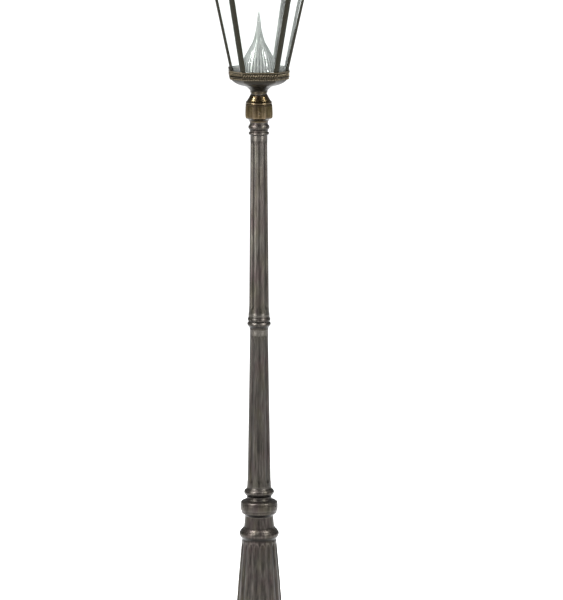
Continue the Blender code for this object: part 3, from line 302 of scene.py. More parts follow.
def softened(node, width, segments=2):
    """A copy of a CAD node with its flat faces cleaned up and its edges rounded over."""
    source = frame["nodes"][node]
    piece = bpy.data.objects.new(node + "_fine", source.data.copy())
    bpy.context.scene.collection.objects.link(piece)
    piece.data.materials.clear()
    only(piece)
    bpy.ops.object.mode_set(mode="EDIT")
    bpy.ops.mesh.select_all(action="SELECT")
    bpy.ops.mesh.remove_doubles(threshold=1e-5)
    bpy.ops.mesh.dissolve_limited(angle_limit=math.radians(1.0))
    bpy.ops.object.mode_set(mode="OBJECT")
    step = piece.modifiers.new("edges", "BEVEL")
    step.width = width * MM
    step.segments = segments
    step.limit_method = "ANGLE"
    step.angle_limit = math.radians(25.0)
    step.use_clamp_overlap = True
    bpy.ops.object.modifier_apply(modifier=step.name)
    return even(leave(piece, 30.0))


def settle(piece, body, finish, *nodes):
    """Gives a piece its finish and the body it rides on, and hides the CAD nodes it stands for."""
    piece.data.materials.clear()
    piece.data.materials.append(finish.material)
    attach(piece, body)
    if nodes:
        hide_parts(*nodes)
    piece.data.calc_loop_triangles()
    print(f"{piece.name}: {len(piece.data.loop_triangles)} triangles")
    return piece


print("Softening helpers are ready")


# %% [markdown]
# ## Shader maths that reads like ordinary maths
#
# A `Value` wraps one output socket, and adding or multiplying values adds the Math nodes.
# A `Finish` owns one material. Its `node` method adds any other kind of node, and `feed` links
# a varying value to the surface shader. A whole finish can then be read as a few formulas.

# %% The value class
class Value:
    """One output socket that can be used in ordinary arithmetic."""

    def __init__(self, tree, socket):
        self.tree = tree
        self.socket = socket

    def math(self, operation, *others, swap=False):
        made = self.tree.nodes.new("ShaderNodeMath")
        made.operation = operation
        terms = [self, *others]
        if swap:
            terms.reverse()
        for slot, term in zip(made.inputs, terms):
            if isinstance(term, Value):
                self.tree.links.new(term.socket, slot)
            else:
                slot.default_value = term
        return Value(self.tree, made.outputs[0])

    def __add__(self, other):
        return self.math("ADD", other)

    __radd__ = __add__

    def __mul__(self, other):
        return self.math("MULTIPLY", other)

    __rmul__ = __mul__

    def __sub__(self, other):
        return self.math("SUBTRACT", other)

    def __rsub__(self, other):
        return self.math("SUBTRACT", other, swap=True)

    def __truediv__(self, other):
        return self.math("DIVIDE", other)

    def clamp(self, low=0.0, high=1.0):
        return self.math("MAXIMUM", low).math("MINIMUM", high)

    def fit(self, low, high):
        """Stretches the part between low and high to run from 0 to 1."""
        return ((self - low) / (high - low)).clamp()


print("Values can be added, subtracted, multiplied, divided, clamped and fitted")


# %% The finish class
class Finish:
    """A material for one slot of the record, with helpers that add its nodes."""

    def __init__(self, slot, colour, roughness, metallic=0.0, **uniform):
        self.slot = slot
        self.material = bpy.data.materials.new(slot)
        self.material.use_nodes = True
        self.tree = self.material.node_tree
        self.shader = self.tree.nodes["Principled BSDF"]
        self.shader.inputs["Base Color"].default_value = (*colour, 1.0)
        self.shader.inputs["Roughness"].default_value = roughness
        self.shader.inputs["Metallic"].default_value = metallic
        for name, value in uniform.items():
            self.shader.inputs[name.replace("_", " ")].default_value = value

    def node(self, kind, settings=None, inputs=None, output=0):
        """Adds a node of any kind. Its settings come first, then its socket values or links."""
        made = self.tree.nodes.new("ShaderNode" + kind)
        for name, value in (settings or {}).items():
            setattr(made, name, value)
        for name, value in (inputs or {}).items():
            slot = made.inputs[name]
            if isinstance(value, Value):
                self.tree.links.new(value.socket, slot)
            elif slot.type == "RGBA":
                slot.default_value = (*value, 1.0)
            else:
                slot.default_value = value
        return Value(self.tree, made.outputs[output])

    def feed(self, name, value):
        """Links a varying value to the surface shader."""
        self.tree.links.new(value.socket, self.shader.inputs[name])

    def places(self, stretch=(1.0, 1.0, 1.0)):
        """Object coordinates, squeezed or stretched along each axis."""
        spot = self.node("TexCoord", output="Object")
        return self.node("VectorMath", {"operation": "MULTIPLY"}, {0: spot, 1: stretch})

    def noise(self, scale, detail=4.0, rough=0.5, stretch=(1.0, 1.0, 1.0)):
        inputs = {"Vector": self.places(stretch), "Scale": scale, "Detail": detail, "Roughness": rough}
        return self.node("TexNoise", None, inputs)

    def mix(self, share, first, second):
        """Mixes two colours; each may be a plain colour or a linked value."""
        return self.node("Mix", {"data_type": "RGBA"}, {0: share, 6: first, 7: second}, 2)

    def bump(self, height, strength, distance):
        inputs = {"Height": height, "Strength": strength, "Distance": distance * MM}
        self.feed("Normal", self.node("Bump", None, inputs))

    def edges(self, low, high):
        """How much a place stands out (1) or lies in a hollow (0)."""
        return self.node("NewGeometry", output="Pointiness").fit(low, high)


print("Finishes can now be made")


# %% [markdown]
# ## Cast metals
#
# Old cast metal is dark with patina in its hollows, and rubbed lighter on its ridges. The darker
# hollows are also painted shade, faces that point down are darkened as painted shade, and the lighter
# ridges are also a painted highlight. Faint patches of brown and green keep it from looking painted,
# and fine upright streaks, where rain has run down, break up the shine. One recipe makes all the
# metals, so they look like a family.

# %% Metals
def patina(slot, dark, mid, rubbed_and_highlight, tints, shine, metallic):
    """A cast, waxed metal: body colour, two wide tints, patina and painted shade in hollows, painted shade
    underneath, and rubbed ridges with a painted highlight.
    """
    made = Finish(slot, mid, shine, metallic)
    patches = made.noise(9.0, 5.0, 0.6)
    other = made.noise(21.0, 4.0, 0.55, (1.0, 1.0, 0.45))
    fine = made.noise(260.0, 3.0, 0.6)
    streaks = made.noise(120.0, 4.0, 0.6, (1.0, 1.0, 0.08))
    colour = made.mix(patches.fit(0.40, 0.66) * 0.75, mid, tints[0])
    colour = made.mix(other.fit(0.46, 0.70) * 0.65, colour, tints[1])
    colour = made.mix(streaks.fit(0.50, 0.64) * 0.62, colour, dark)
    colour = made.mix((1 - streaks).fit(0.54, 0.68) * 0.36, colour, rubbed_and_highlight)
    # hollow darkens concave places: partly patina, partly painted shade
    hollow = 1 - made.edges(0.455, 0.50)
    # ridge lightens convex edges: partly rubbed wear, partly a painted highlight
    ridge = made.edges(0.505, 0.56) * (0.55 + 0.45 * fine.fit(0.35, 0.65))
    # under darkens faces that point downward: painted shade
    facing = made.node("NewGeometry", output="Normal")
    under = (made.node("SeparateXYZ", None, {"Vector": facing}, 2) * -1.0).fit(0.05, 0.60)
    # Painted shade in the hollows and on the undersides
    colour = made.mix((hollow * 0.8 + under * 0.92).clamp(), colour, dark)
    # Painted highlight, with some rubbed wear, on the ridges, kept off the undersides
    colour = made.mix((ridge * 0.75 * (1 - under * 0.9)).clamp(), colour, rubbed_and_highlight)
    made.feed("Base Color", colour)
    rough = shine + 0.16 * (other - 0.5) + 0.10 * (fine - 0.5) + 0.14 * hollow - 0.07 * ridge
    made.feed("Roughness", rough.clamp(0.12, 0.85))
    made.bump(fine * 0.6 + streaks * 0.8 + other * 1.2, 0.22, 0.5)
    return made


iron = patina(
    "iron", (0.009, 0.008, 0.0068), (0.043, 0.0395, 0.0345), (0.135, 0.125, 0.110),
    ((0.043, 0.029, 0.029), (0.045, 0.042, 0.026)), shine=0.37, metallic=0.90,
)
bronze = patina(
    "bronze", (0.007, 0.006, 0.004), (0.038, 0.031, 0.019), (0.165, 0.135, 0.090),
    ((0.033, 0.032, 0.016), (0.040, 0.027, 0.021)), shine=0.38, metallic=0.90,
)
brass = patina(
    "brass", (0.011, 0.008, 0.004), (0.078, 0.053, 0.025), (0.290, 0.225, 0.150),
    ((0.052, 0.047, 0.016), (0.062, 0.038, 0.030)), shine=0.25, metallic=0.94,
)
# A darker bronze for the bars, also used as painted shade on the tray's recess wall
bar_metal = patina(
    "bronze", (0.005, 0.005, 0.003), (0.018, 0.017, 0.012), (0.036, 0.034, 0.024),
    ((0.014, 0.014, 0.010), (0.017, 0.013, 0.010)), shine=0.33, metallic=0.90,
)
print("Cast metals:", iron.slot, bronze.slot, brass.slot, "and a darker bronze for the bars")


# %% [markdown]
# ## Plain finishes
#
# Screws, rubber, enamel and mouldings are small and even, so two close colours and a fine grain
# are enough. The set screws are nearly black, so they get a steel of their own.

# %% Steel, rubber, enamel, mouldings, lamp and fuse
def plain(slot, low, high, roughness, metallic, scale, bump, **uniform):
    """A simpler finish: two close colours, a little uneven, with a fine grain."""
    made = Finish(slot, low, roughness, metallic, **uniform)
    cloud = made.noise(scale, 4.0, 0.6)
    grain = made.noise(scale * 14, 2.0, 0.5)
    made.feed("Base Color", made.mix(cloud.fit(0.35, 0.68), low, high))
    made.feed("Roughness", (roughness + 0.15 * (cloud - 0.5) + 0.08 * (grain - 0.5)).clamp(0.03, 0.95))
    made.bump(grain + cloud * 0.5, bump, 0.3)
    return made


steel = plain("steel", (0.24, 0.235, 0.23), (0.36, 0.35, 0.34), 0.40, 1.0, 24.0, 0.15)
dull_steel = plain("steel", (0.020, 0.019, 0.017), (0.045, 0.041, 0.036), 0.5, 1.0, 24.0, 0.2)
rubber = plain("rubber", (0.018, 0.018, 0.018), (0.035, 0.034, 0.033), 0.75, 0.0, 30.0, 0.25)
enamel = plain("white_enamel", (0.80, 0.80, 0.77), (0.66, 0.64, 0.58), 0.30, 0.0, 12.0, 0.08, Coat_Weight=0.3)
moulding = plain("moulding", (0.045, 0.045, 0.048), (0.075, 0.072, 0.070), 0.48, 0.0, 26.0, 0.15)
opal = plain("lamp_opal", (0.93, 0.92, 0.88), (0.86, 0.85, 0.80), 0.22, 0.0, 16.0, 0.04)
ceramic = plain("fuse_ceramic", (0.84, 0.82, 0.77), (0.76, 0.73, 0.66), 0.25, 0.0, 22.0, 0.06)
print("Plain finishes made")


# %% [markdown]
# ## Glass
#
# A flat pane is thin, so it bends no light worth showing: it is mostly see-through, with a faint
# shine and a little dust. The cone is thick, ribbed glass, with thin dark lines between its ribs
# and on its small steps. The dark lines are drawn from the angle round the axis and from the height.

# %% Panes
def clear_sheet(slot, tint, share):
    """Flat glass: mostly see-through, with a faint shine and a little dust."""
    made = Finish(slot, tint, 0.05, 0.0)
    dust = made.noise(7.0, 5.0, 0.65).fit(0.45, 0.8)
    speck = made.noise(90.0, 3.0, 0.6).fit(0.62, 0.8)
    made.feed("Roughness", (0.03 + 0.25 * dust + 0.2 * speck).clamp())
    amount = (share + share * 1.2 * dust + 0.5 * share * speck).clamp()
    see_through = made.node("BsdfTransparent", None, {0: (0.975, 0.985, 0.98)})
    shiny = Value(made.tree, made.shader.outputs[0])
    both = made.node("MixShader", None, {0: amount, 1: see_through, 2: shiny})
    made.tree.links.new(both.socket, made.tree.nodes["Material Output"].inputs["Surface"])
    return made


glass = clear_sheet("glass", (0.80, 0.84, 0.82), 0.05)
print("Pane finish made")

# %% Ribbed glass
RIBS = 32
SHELVES = 115.0  # small steps in one metre of height
prism = Finish("prism_glass", (0.60, 0.65, 0.63), 0.08, 0.0, Transmission_Weight=0.9, IOR=1.40)
smear = prism.noise(16.0, 5.0, 0.6)
spot = prism.node("TexCoord", output="Object")
across, along, height = (prism.node("SeparateXYZ", None, {"Vector": spot}, k) for k in range(3))
round_share = along.math("ARCTAN2", across) * (RIBS / TURN)
rib = (round_share.math("FRACT") - 0.5).math("ABSOLUTE").fit(0.15, 0.34)
shelf = ((height * SHELVES).math("FRACT") - 0.5).math("ABSOLUTE").fit(0.26, 0.46)
# Thin dark lines along the ribs and steps, made dark, rough metal so no shine shows on them
dark_lines = (rib * 0.95 + shelf * 0.75 * smear.fit(0.35, 0.6)).clamp()
body = prism.mix(smear.fit(0.38, 0.68), (0.93, 0.94, 0.92), (0.60, 0.66, 0.60))
prism.feed("Base Color", prism.mix(dark_lines, body, (0.035, 0.04, 0.034)))
prism.feed("Metallic", (0.12 + 0.88 * dark_lines).clamp())
prism.feed("Roughness", (0.15 + 0.14 * smear.fit(0.45, 0.75) + 0.55 * dark_lines).clamp())
finishes = {made.slot: made for made in (
    iron, bronze, brass, steel, rubber, enamel, moulding, glass, prism, opal, ceramic,
)}
print("Finishes:", sorted(finishes))

# %% [markdown]
# ## Dress the CAD nodes
#
# Every node gets the finish that its record names, so nothing is ever shown bare. The fine pieces
# made next stand in for the nodes that are seen most. A few inner parts stay as they are.

# %% Finishes for the CAD nodes
slots = {entry["node"]: entry["material_slot"] for entry in frame["record"]["subparts"]}
for node, piece in frame["nodes"].items():
    piece.data.materials.clear()
    finish = dull_steel if node.startswith("collar_screw") else finishes[slots[node]]
    piece.data.materials.append(finish.material)
print("Nodes dressed:", len(slots))

# %% [markdown]
# ## The base casting
#
# The base is one hollow casting: a floor flange, a foot ring, a skirt with eighteen flutes, a ring
# moulding and a plain neck. It is spun from a single outline that runs up the outside and back
# down the inside, so the wall has a true thickness. The spin has 216 steps, twelve to each flute.

# %% Spin and flute the base
base_outline = [(109.5, 0.0), (155.0, 0.0), (155.0, 18.5), (154.2, 20.6), (152.0, 22.0)]
base_outline += [(119.5, 22.0)] + curve([(118.6, 23.0), (125.5, 25.6), (129.6, 33.0), (130.0, 40.0)])
base_outline += curve([(129.2, 46.0), (125.0, 52.2), (119.6, 54.0)], 3) + [(119.0, 58.0), (118.2, 60.0)]
skirt = [(118.0, 68.0), (113.2, 128.0), (108.5, 188.0), (103.9, 248.0), (100.1, 298.0), (97.2, 334.0)]
skirt += [(94.6, 371.0), (91.4, 407.0), (88.3, 443.0), (85.0, 479.0), (81.9, 515.0), (78.6, 546.0)]
base_outline += line([skirt[0], (117.4, 76.0), (116.4, 88.0)], 2.0) + curve(skirt[1:-1], 3)
base_outline += line([(80.4, 530.0), (78.6, 546.0)], 2.0)
base_outline += [(77.9, 554.0), (76.6, 556.0), (76.8, 561.5), (79.0, 565.0), (79.6, 566.2)]
base_outline += curve([(80.4, 567.0), (85.7, 574.0), (88.4, 581.0), (88.8, 588.0), (87.2, 593.0), (84.5, 597.0)])
base_outline += [(83.0, 599.0), (82.6, 601.0)] + curve([(80.4, 603.0), (76.4, 607.0), (72.8, 610.4)], 3)
base_outline += [(72.4, 612.6)]
base_outline += curve([(68.6, 615.0), (67.0, 628.0), (65.6, 642.0), (64.2, 657.0), (63.6, 666.8)])
base_outline += [(45.4, 666.8), (45.4, 640.3), (39.4, 640.3), (39.4, 628.0), (64.3, 600.0)]
base = turned("base", base_outline, steps=216, done=False)
flute(67.0, 547.0, count=18, half_arc=7.5, depth=4.5, end=17.0, widest=75.0)
leave(base, 28.0)
print("Base vertices:", len(base.data.vertices))

# %% [markdown]
# The door sits in a raised frame at the rear. The frame is a block with rounded edges that is joined
# to the skirt. The opening, the pocket for the lock's tongue and the four holes for anchor bolts
# are cut last, so that they go through everything.

# %% Door frame, opening, lock pocket and anchor holes
ANCHOR_CIRCLE, ANCHOR_HOLE, ANCHORS = 142.5, 6.5, 4
frame_block = box_piece((-62.0, 68.4, 144.0), (62.0, 124.0, 416.0))
step = frame_block.modifiers.new("edges", "BEVEL")
step.width, step.segments = 2.5 * MM, 3
only(frame_block)
bpy.ops.object.modifier_apply(modifier=step.name)
cut(base, [frame_block], "UNION")
opening = box_piece((-45.0, 40.0, 161.0), (45.0, 126.0, 399.0))
lock_pocket = box_piece((43.0, 112.0, 274.0), (55.0, 121.0, 298.0))
holes = [opening, lock_pocket]
for k in range(ANCHORS):
    middle = spoke(TURN * (k + 0.5) / ANCHORS) * ANCHOR_CIRCLE
    holes.append(rod_piece(middle - Vector((0, 0, 2)), middle + Vector((0, 0, 24)), ANCHOR_HOLE))
cut(base, holes)
leave(base, 28.0)
settle(base, "post", iron, "base_casting")

# %% [markdown]
# ## The collar
#
# A heavy ring sits on the neck and carries the shafts. Three grub screws go through it, so three
# small holes are cut through its widest band after it has been turned.

# %% Collar on the neck
GRUB_HEIGHT, GRUB_HOLE = 714, 4.3
collar_outline = [(45.3, 667.3), (62.6, 667.3)] + curve([(64.0, 667.8), (66.4, 670.0), (68.6, 673.0)], 3)
collar_outline += curve([(69.2, 673.8), (75.6, 678.0), (78.5, 682.0), (80.3, 690.0), (81.6, 693.0)])
collar_outline += curve([(83.1, 696.0), (83.5, 706.0), (83.3, 717.0), (82.2, 722.0)], 3)
collar_outline += curve([(82.4, 726.0), (81.2, 730.2), (77.6, 733.6), (71.0, 737.0)], 3)
collar_outline += curve([(68.0, 737.8), (61.4, 740.4), (57.0, 745.4), (55.4, 754.0), (58.0, 759.0), (61.4, 762.0)])
collar_outline += [(62.3, 763.2)]
collar_outline += curve([(63.4, 765.6), (67.2, 772.0), (67.4, 777.0), (65.2, 783.0), (60.4, 787.0)])
collar_outline += [(58.2, 788.6), (56.8, 790.6), (55.4, 795.4), (45.3, 795.4)]
collar = turned("collar", collar_outline)
grub_holes = []
for angle in (90.0, 210.0, 330.0):
    way, up = spoke(math.radians(angle)), Vector((0, 0, GRUB_HEIGHT))
    grub_holes.append(rod_piece(way * 44 + up, way * 90 + up, GRUB_HOLE, 24))
cut(collar, grub_holes)
leave(collar)
settle(collar, "post", iron, "base_collar")


# %% [markdown]
# ## The shafts
#
# Each shaft is a tapered tube with eight flutes. Its rings of vertices lie close together near
# both ends, where the flutes are rounded, and far apart between. The lower shaft has a tenon that
# drops into the collar. The upper one ends in a spigot that rises through the capital.

# %% The two fluted shafts
def shaft(name, low, high, foot_r, top_r, flare, inner, tenon):
    """A tapered tube with eight flutes; the flutes stop short of both ends."""
    reach = high - low
    ends = [0.0, 0.5, 2.0, 4.5, 8.0, 12.0, 16.0, 20.0]
    outline = [(foot_r + flare, low), (foot_r + flare * 0.4, low + 6), (foot_r - 0.2, low + 14)]
    stops = [22 + e for e in ends] + [42 + (reach - 84) * k / 12 for k in range(1, 12)]
    stops += [reach - 22 - e for e in reversed(ends)]
    outline += [(foot_r + (top_r - foot_r) * stop / reach, low + stop) for stop in stops]
    outline += [(top_r, high)]
    piece = turned(name, tenon + outline + inner, steps=144, done=False)
    flute(low + 22, high - 22, count=8, half_arc=14.0, depth=4.0, end=20.0, widest=top_r - 0.5, first=-90.0)
    return leave(piece, 26.0)


low, high = 796.3, 1509.7
inner = [(30.3, high), (30.3, high - 90), (39.0, low + 60), (39.0, low - 155.7)]
tenon = [(45.0, low - 155.7), (45.0, low)]
settle(shaft("shaft_lower", low, high, 54.0, 41.0, 1.0, inner, tenon), "post", iron, "lower_shaft")
low, high = 1582.3, 2386.7
inner = [(30.0, high), (30.0, high + 115), (26.0, high + 115), (26.0, low + 100), (30.3, low + 90), (30.3, low)]
settle(shaft("shaft_upper", low, high, 45.5, 38.2, 2.0, inner, []), "post", iron, "upper_shaft")

# %% [markdown]
# ## The middle collar and the capital
#
# Both are rings that hide a joint. A bead is a curve of five or six points, and the small flats
# between beads stay sharp, because a crisp shadow line is what makes a moulding read.

# %% Middle collar
mid_outline = [(30.3, 1510.3), (41.2, 1510.3)] + curve([(41.6, 1514.0), (42.3, 1522.0)], 2)
mid_outline += [(43.8, 1523.6), (44.2, 1526.0)]
mid_outline += curve([(45.8, 1528.0), (50.2, 1532.0), (52.4, 1537.5), (51.8, 1542.4), (48.0, 1547.0)])
mid_outline += [(46.9, 1548.6), (46.9, 1550.4)]
mid_outline += curve([(47.6, 1552.0), (50.2, 1554.6), (50.9, 1559.0), (49.8, 1564.0), (48.2, 1566.4)])
mid_outline += [(47.6, 1568.0), (47.4, 1574.0), (47.5, 1581.7), (30.3, 1581.7)]
settle(turned("ring_middle", mid_outline), "post", iron, "mid_collar")

# %% Capital
cap_outline = [(30.3, 2387.3), (39.0, 2387.3)]
cap_outline += curve([(39.6, 2388.4), (43.4, 2390.0), (45.4, 2393.0), (45.7, 2396.4), (43.6, 2399.0)], 3)
cap_outline += [(41.0, 2400.4), (40.4, 2402.0)] + curve([(40.2, 2404.0), (41.0, 2408.6), (41.4, 2411.4)], 3)
cap_outline += [(43.6, 2413.6)]
cap_outline += curve([(44.6, 2415.0), (46.8, 2418.6), (47.2, 2423.0), (46.0, 2428.0), (43.4, 2431.6)])
cap_outline += [(41.6, 2433.4)] + curve([(40.4, 2437.0), (40.3, 2442.0), (41.0, 2446.7)], 3) + [(30.3, 2446.7)]
settle(turned("capital_ring", cap_outline), "post", iron, "capital")


# %% [markdown]
# ## Eight-sided pieces
#
# The coupling, the tray and the roof are square with their corners cut off. They can't be spun,
# so each starts as an eight-sided ring that is extruded and scaled, one step at a time. A step can
# also pull the ring towards a circle, so an eight-sided block can end in a round neck.

# %% Rings that grow
def octagon(name, half, front, z, cuts):
    """An eight-sided ring in edit mode: wide faces half away, each 2 x front wide."""
    bpy.ops.mesh.primitive_circle_add(vertices=8, radius=1.0, rotation=(0, 0, HALF_SIDE))
    piece = bpy.context.object
    piece.name = piece.data.name = name
    bpy.ops.object.transform_apply()
    bpy.ops.object.mode_set(mode="EDIT")
    wide, narrow = math.cos(HALF_SIDE), math.sin(HALF_SIDE)
    for axis in (0, 1):
        pick(lambda p: abs(p[axis]) > 900)
        scale = [1.0, 1.0, 1.0]
        scale[axis] = half * MM / wide
        scale[1 - axis] = front * MM / narrow
        bpy.ops.transform.resize(value=scale, center_override=(0, 0, 0))
    bpy.ops.mesh.select_all(action="SELECT")
    bpy.ops.mesh.subdivide(number_cuts=cuts)
    bpy.ops.transform.translate(value=(0, 0, z * MM))
    return piece


def reach_of_selection():
    """Half the width of the selected ring, and its height."""
    mesh = bmesh.from_edit_mesh(bpy.context.object.data)
    chosen = [v.co for v in mesh.verts if v.select]
    return max(co.x for co in chosen) / MM, chosen[0].z / MM


def grow(levels):
    """Extrudes the selected ring through (half-width, height, roundness) levels."""
    roundness = 0.0
    for half, z, wanted in levels:
        _, now = reach_of_selection()
        bpy.ops.mesh.extrude_region_move(TRANSFORM_OT_translate={"value": (0, 0, (z - now) * MM)})
        if wanted > roundness:
            share = (wanted - roundness) / (1 - roundness)
            bpy.ops.transform.tosphere(value=share, center_override=(0, 0, z * MM))
            roundness = wanted
        wide, _ = reach_of_selection()
        k = half / wide
        bpy.ops.transform.resize(value=(k, k, 1.0), center_override=(0, 0, z * MM))


def flat(levels, roundness=0.0):
    """The same roundness for a run of (half-width, height) levels."""
    return [(half, z, roundness) for half, z in levels]


print("Rings can grow")

# %% [markdown]
# ## The coupling
#
# The brass coupling joins the lantern to the post: an eight-sided block below, a round bell above.
# A ring low on the block is grown upward, and then down inside the bell. The same ring is then
# grown downward to the round foot, and the two open ends are bridged to close the bore.

# %% The coupling under the lantern
coupling_block = octagon("coupling_block", 60.3, 60.3 * math.tan(HALF_SIDE), 2477.0, 5)
bell = [(58.4, 2531.4), (58.0, 2534.6), (56.0, 2537.0), (53.0, 2540.0), (49.6, 2545.0)]
bell += [(44.3, 2554.0), (40.3, 2562.0), (38.6, 2565.6)]
grow(flat([(60.6, 2482), (60.3, 2495), (59.6, 2508), (59.0, 2518), (58.6, 2524), (57.6, 2526)])
     + [(56.2, 2527.4, 0.5), (56.6, 2529.0, 0.9), (58.2, 2530.4, 1.0)]
     + flat(curve(bell, 2), 1.0)
     + flat([(37.6, 2567.0), (34.4, 2567.4), (33.8, 2569.0), (13.3, 2569.0), (13.3, 2502.0), (30.3, 2502.0)], 1.0))
pick(lambda p: abs(p.z - 2477.0) < 0.01)
grow(flat([(60.0, 2472), (59.2, 2468), (57.0, 2464.6)])
     + [(53.5, 2462.0, 0.2), (50.0, 2460.0, 0.5), (48.6, 2458.4, 0.8)]
     + flat([(47.0, 2456.4), (45.2, 2453.6), (43.4, 2451.0), (42.2, 2448.4), (42.0, 2447.3), (30.3, 2447.3)], 1.0))
pick(lambda p: p.xy.length < 30.6 and (abs(p.z - 2502.0) < 0.1 or abs(p.z - 2447.3) < 0.1))
bpy.ops.mesh.bridge_edge_loops()
leave(coupling_block, 24.0)
cut(coupling_block, [rod_piece((0, side * 28, 2489), (0, side * 64, 2489), 3.3, 24) for side in (-1, 1)])
leave(coupling_block, 24.0)
settle(coupling_block, "post", brass, "coupling")

# %% [markdown]
# ## The tray
#
# The tray holds the lantern's glass and bars. Its eight-sided rim flows down into a round neck,
# and inside it is a shallow bowl. It is one casting, so it is grown as one shell: from the recess
# in the rim down to the neck, and then up from the recess, over the lip and into the bowl.

# %% Grow the tray
RIM_HALF, RIM_FRONT = 127.0, 74.7
RECESS = 123.0
bowl = octagon("bowl", RECESS, RECESS * RIM_FRONT / RIM_HALF, 2668.0, 7)
grow(flat([(RECESS, 2657.4), (132.4, 2656.8), (133.2, 2655.8), (132.4, 2654.6), (127.8, 2653.8)])
     + [(127.0, 2651.4, 0.0), (125.4, 2647.4, 0.02), (123.0, 2643.0, 0.05), (120.4, 2638.6, 0.10)]
     + [(116.4, 2633.4, 0.16), (110.6, 2627.6, 0.26), (103.0, 2622.0, 0.38), (94.0, 2617.2, 0.52)]
     + [(85.0, 2613.6, 0.66), (76.0, 2610.6, 0.8), (67.5, 2607.8, 0.92), (61.0, 2605.6, 1.0)]
     + flat([(56.5, 2603.8), (53.2, 2601.2), (50.5, 2598.6), (47.8, 2596.0), (45.4, 2593.6), (42.6, 2591.0),
             (40.4, 2588.0), (38.8, 2585.0), (38.2, 2582.0), (38.2, 2580.0), (38.8, 2578.8), (38.6, 2577.4),
             (37.6, 2576.6), (34.2, 2576.2), (33.8, 2571.6), (13.3, 2571.6)], 1.0))
pick(lambda p: abs(p.z - 2668.0) < 0.01)
grow(flat([(RECESS, 2675.0), (133.0, 2675.6), (134.0, 2677.4), (133.8, 2680.6), (132.4, 2682.4),
           (130.4, 2682.4), (129.6, 2681.0), (129.6, 2677.9), (116.0, 2677.9), (116.0, 2655.9)])
     + [(103.0, 2643.9, 0.2), (92.0, 2633.0, 0.45), (80.0, 2625.9, 0.6), (72.0, 2623.9, 0.8)]
     + [(40.0, 2623.9, 1.0), (13.3, 2623.9, 1.0)])
pick(lambda p: p.xy.length < 13.6)
bpy.ops.mesh.bridge_edge_loops()
leave(bowl, 24.0)
print("Tray vertices:", len(bowl.data.vertices))


# %% [markdown]
# The rim carries a rope moulding with a band of small round leaves below it. Each strand of the
# rope is one leaning bead. The upright wall behind the beads is given a near-black bronze as painted
# shade, and that dark ground behind them is what makes them show from far away.

# %% Rope moulding and leaf band round the rim
def along_rim(half, pitch):
    """Places and directions, evenly spaced, round an eight-sided rim."""
    front = half * RIM_FRONT / RIM_HALF
    corners = [(half, -front), (half, front), (front, half), (-front, half)]
    corners += [(-half, front), (-half, -front), (-front, -half), (front, -half)]
    spots = []
    for a, b in zip(corners, corners[1:] + corners[:1]):
        a, b = Vector(a), Vector(b)
        count = round((b - a).length / pitch)
        for k in range(count):
            spots.append((a.lerp(b, (k + 0.5) / count), (b - a).normalized()))
    return spots


def beads(name, half, z, pitch, size, lean, segments=8, rings=6):
    """A row of small rounded beads round the rim, each leaning by the angle given."""
    bpy.ops.mesh.primitive_plane_add(size=0.01)
    row = bpy.context.object
    row.name = row.data.name = name
    bpy.ops.object.mode_set(mode="EDIT")
    bpy.ops.mesh.select_all(action="SELECT")
    bpy.ops.mesh.delete(type="VERT")
    for spot, way in along_rim(half, pitch):
        heading = Matrix.Rotation(math.atan2(way.y, way.x), 4, "Z") @ Matrix.Rotation(lean, 4, "Y")
        bpy.ops.mesh.primitive_uv_sphere_add(
            segments=segments, ring_count=rings, radius=1.0,
            location=(spot.x * MM, spot.y * MM, z * MM),
            rotation=heading.to_euler(), scale=[s * MM for s in size],
        )
    bpy.ops.object.mode_set(mode="OBJECT")
    only(row)
    bpy.ops.object.shade_smooth()
    return row


def in_recess(p):
    """Whether a face is on the upright wall behind the rope."""
    across, corner = max(abs(p.x), abs(p.y)), abs(p.x) + abs(p.y)
    return 2657.6 < p.z < 2674.8 and 118 < max(across, corner * 0.63) and across < 123.2 and corner < 195.8


BEAD_PITCH = 11.0
rope = beads("rope", 127.6, 2666.2, BEAD_PITCH, size=(3.5, 5.6, 10.2), lean=math.radians(36), segments=10, rings=8)
leaves = beads("leaves", 126.4, 2648.4, BEAD_PITCH, size=(4.2, 5.0, 5.2), lean=0.0)
merge(bowl, rope, leaves)
settle(bowl, "post", bronze, "tray")
# Painted shade: the upright wall behind the rope gets the near-black bronze
bowl.data.materials.append(bar_metal.material)
only(bowl)
bpy.ops.object.mode_set(mode="EDIT")
wall = pick(in_recess, "faces")
bowl.active_material_index = 1
bpy.ops.object.material_slot_assign()
bpy.ops.object.mode_set(mode="OBJECT")
print("Dark recess faces:", wall)

# %% [markdown]
# ## The lantern's bars, panes and top frame
#
# The bars and panes are straight, so copies of the CAD nodes are enough, once their edges
# are rounded over. The bars are darker than the tray, so they get the darker bronze.

# %% Bars, panes and top frame
for node in sorted(frame["nodes"]):
    if node.startswith("bar_"):
        settle(softened(node, 0.7), "post", bar_metal, node)
    if node.startswith("pane_"):
        settle(softened(node, 0.4, segments=1), "post", glass, node)
settle(softened("top_frame", 1.2), "post", bronze, "top_frame")


# %% [markdown]
# ## The ribbed glass cone
#
# A cone of pressed glass stands over the lamp and spreads its light. Its wall flares like a bell
# and ends in a long point. Small steps ring it and thin upright ribs run up it: the steps are in
# the outline, and the ribs are pressed in after the spin, one row of vertices at a time.

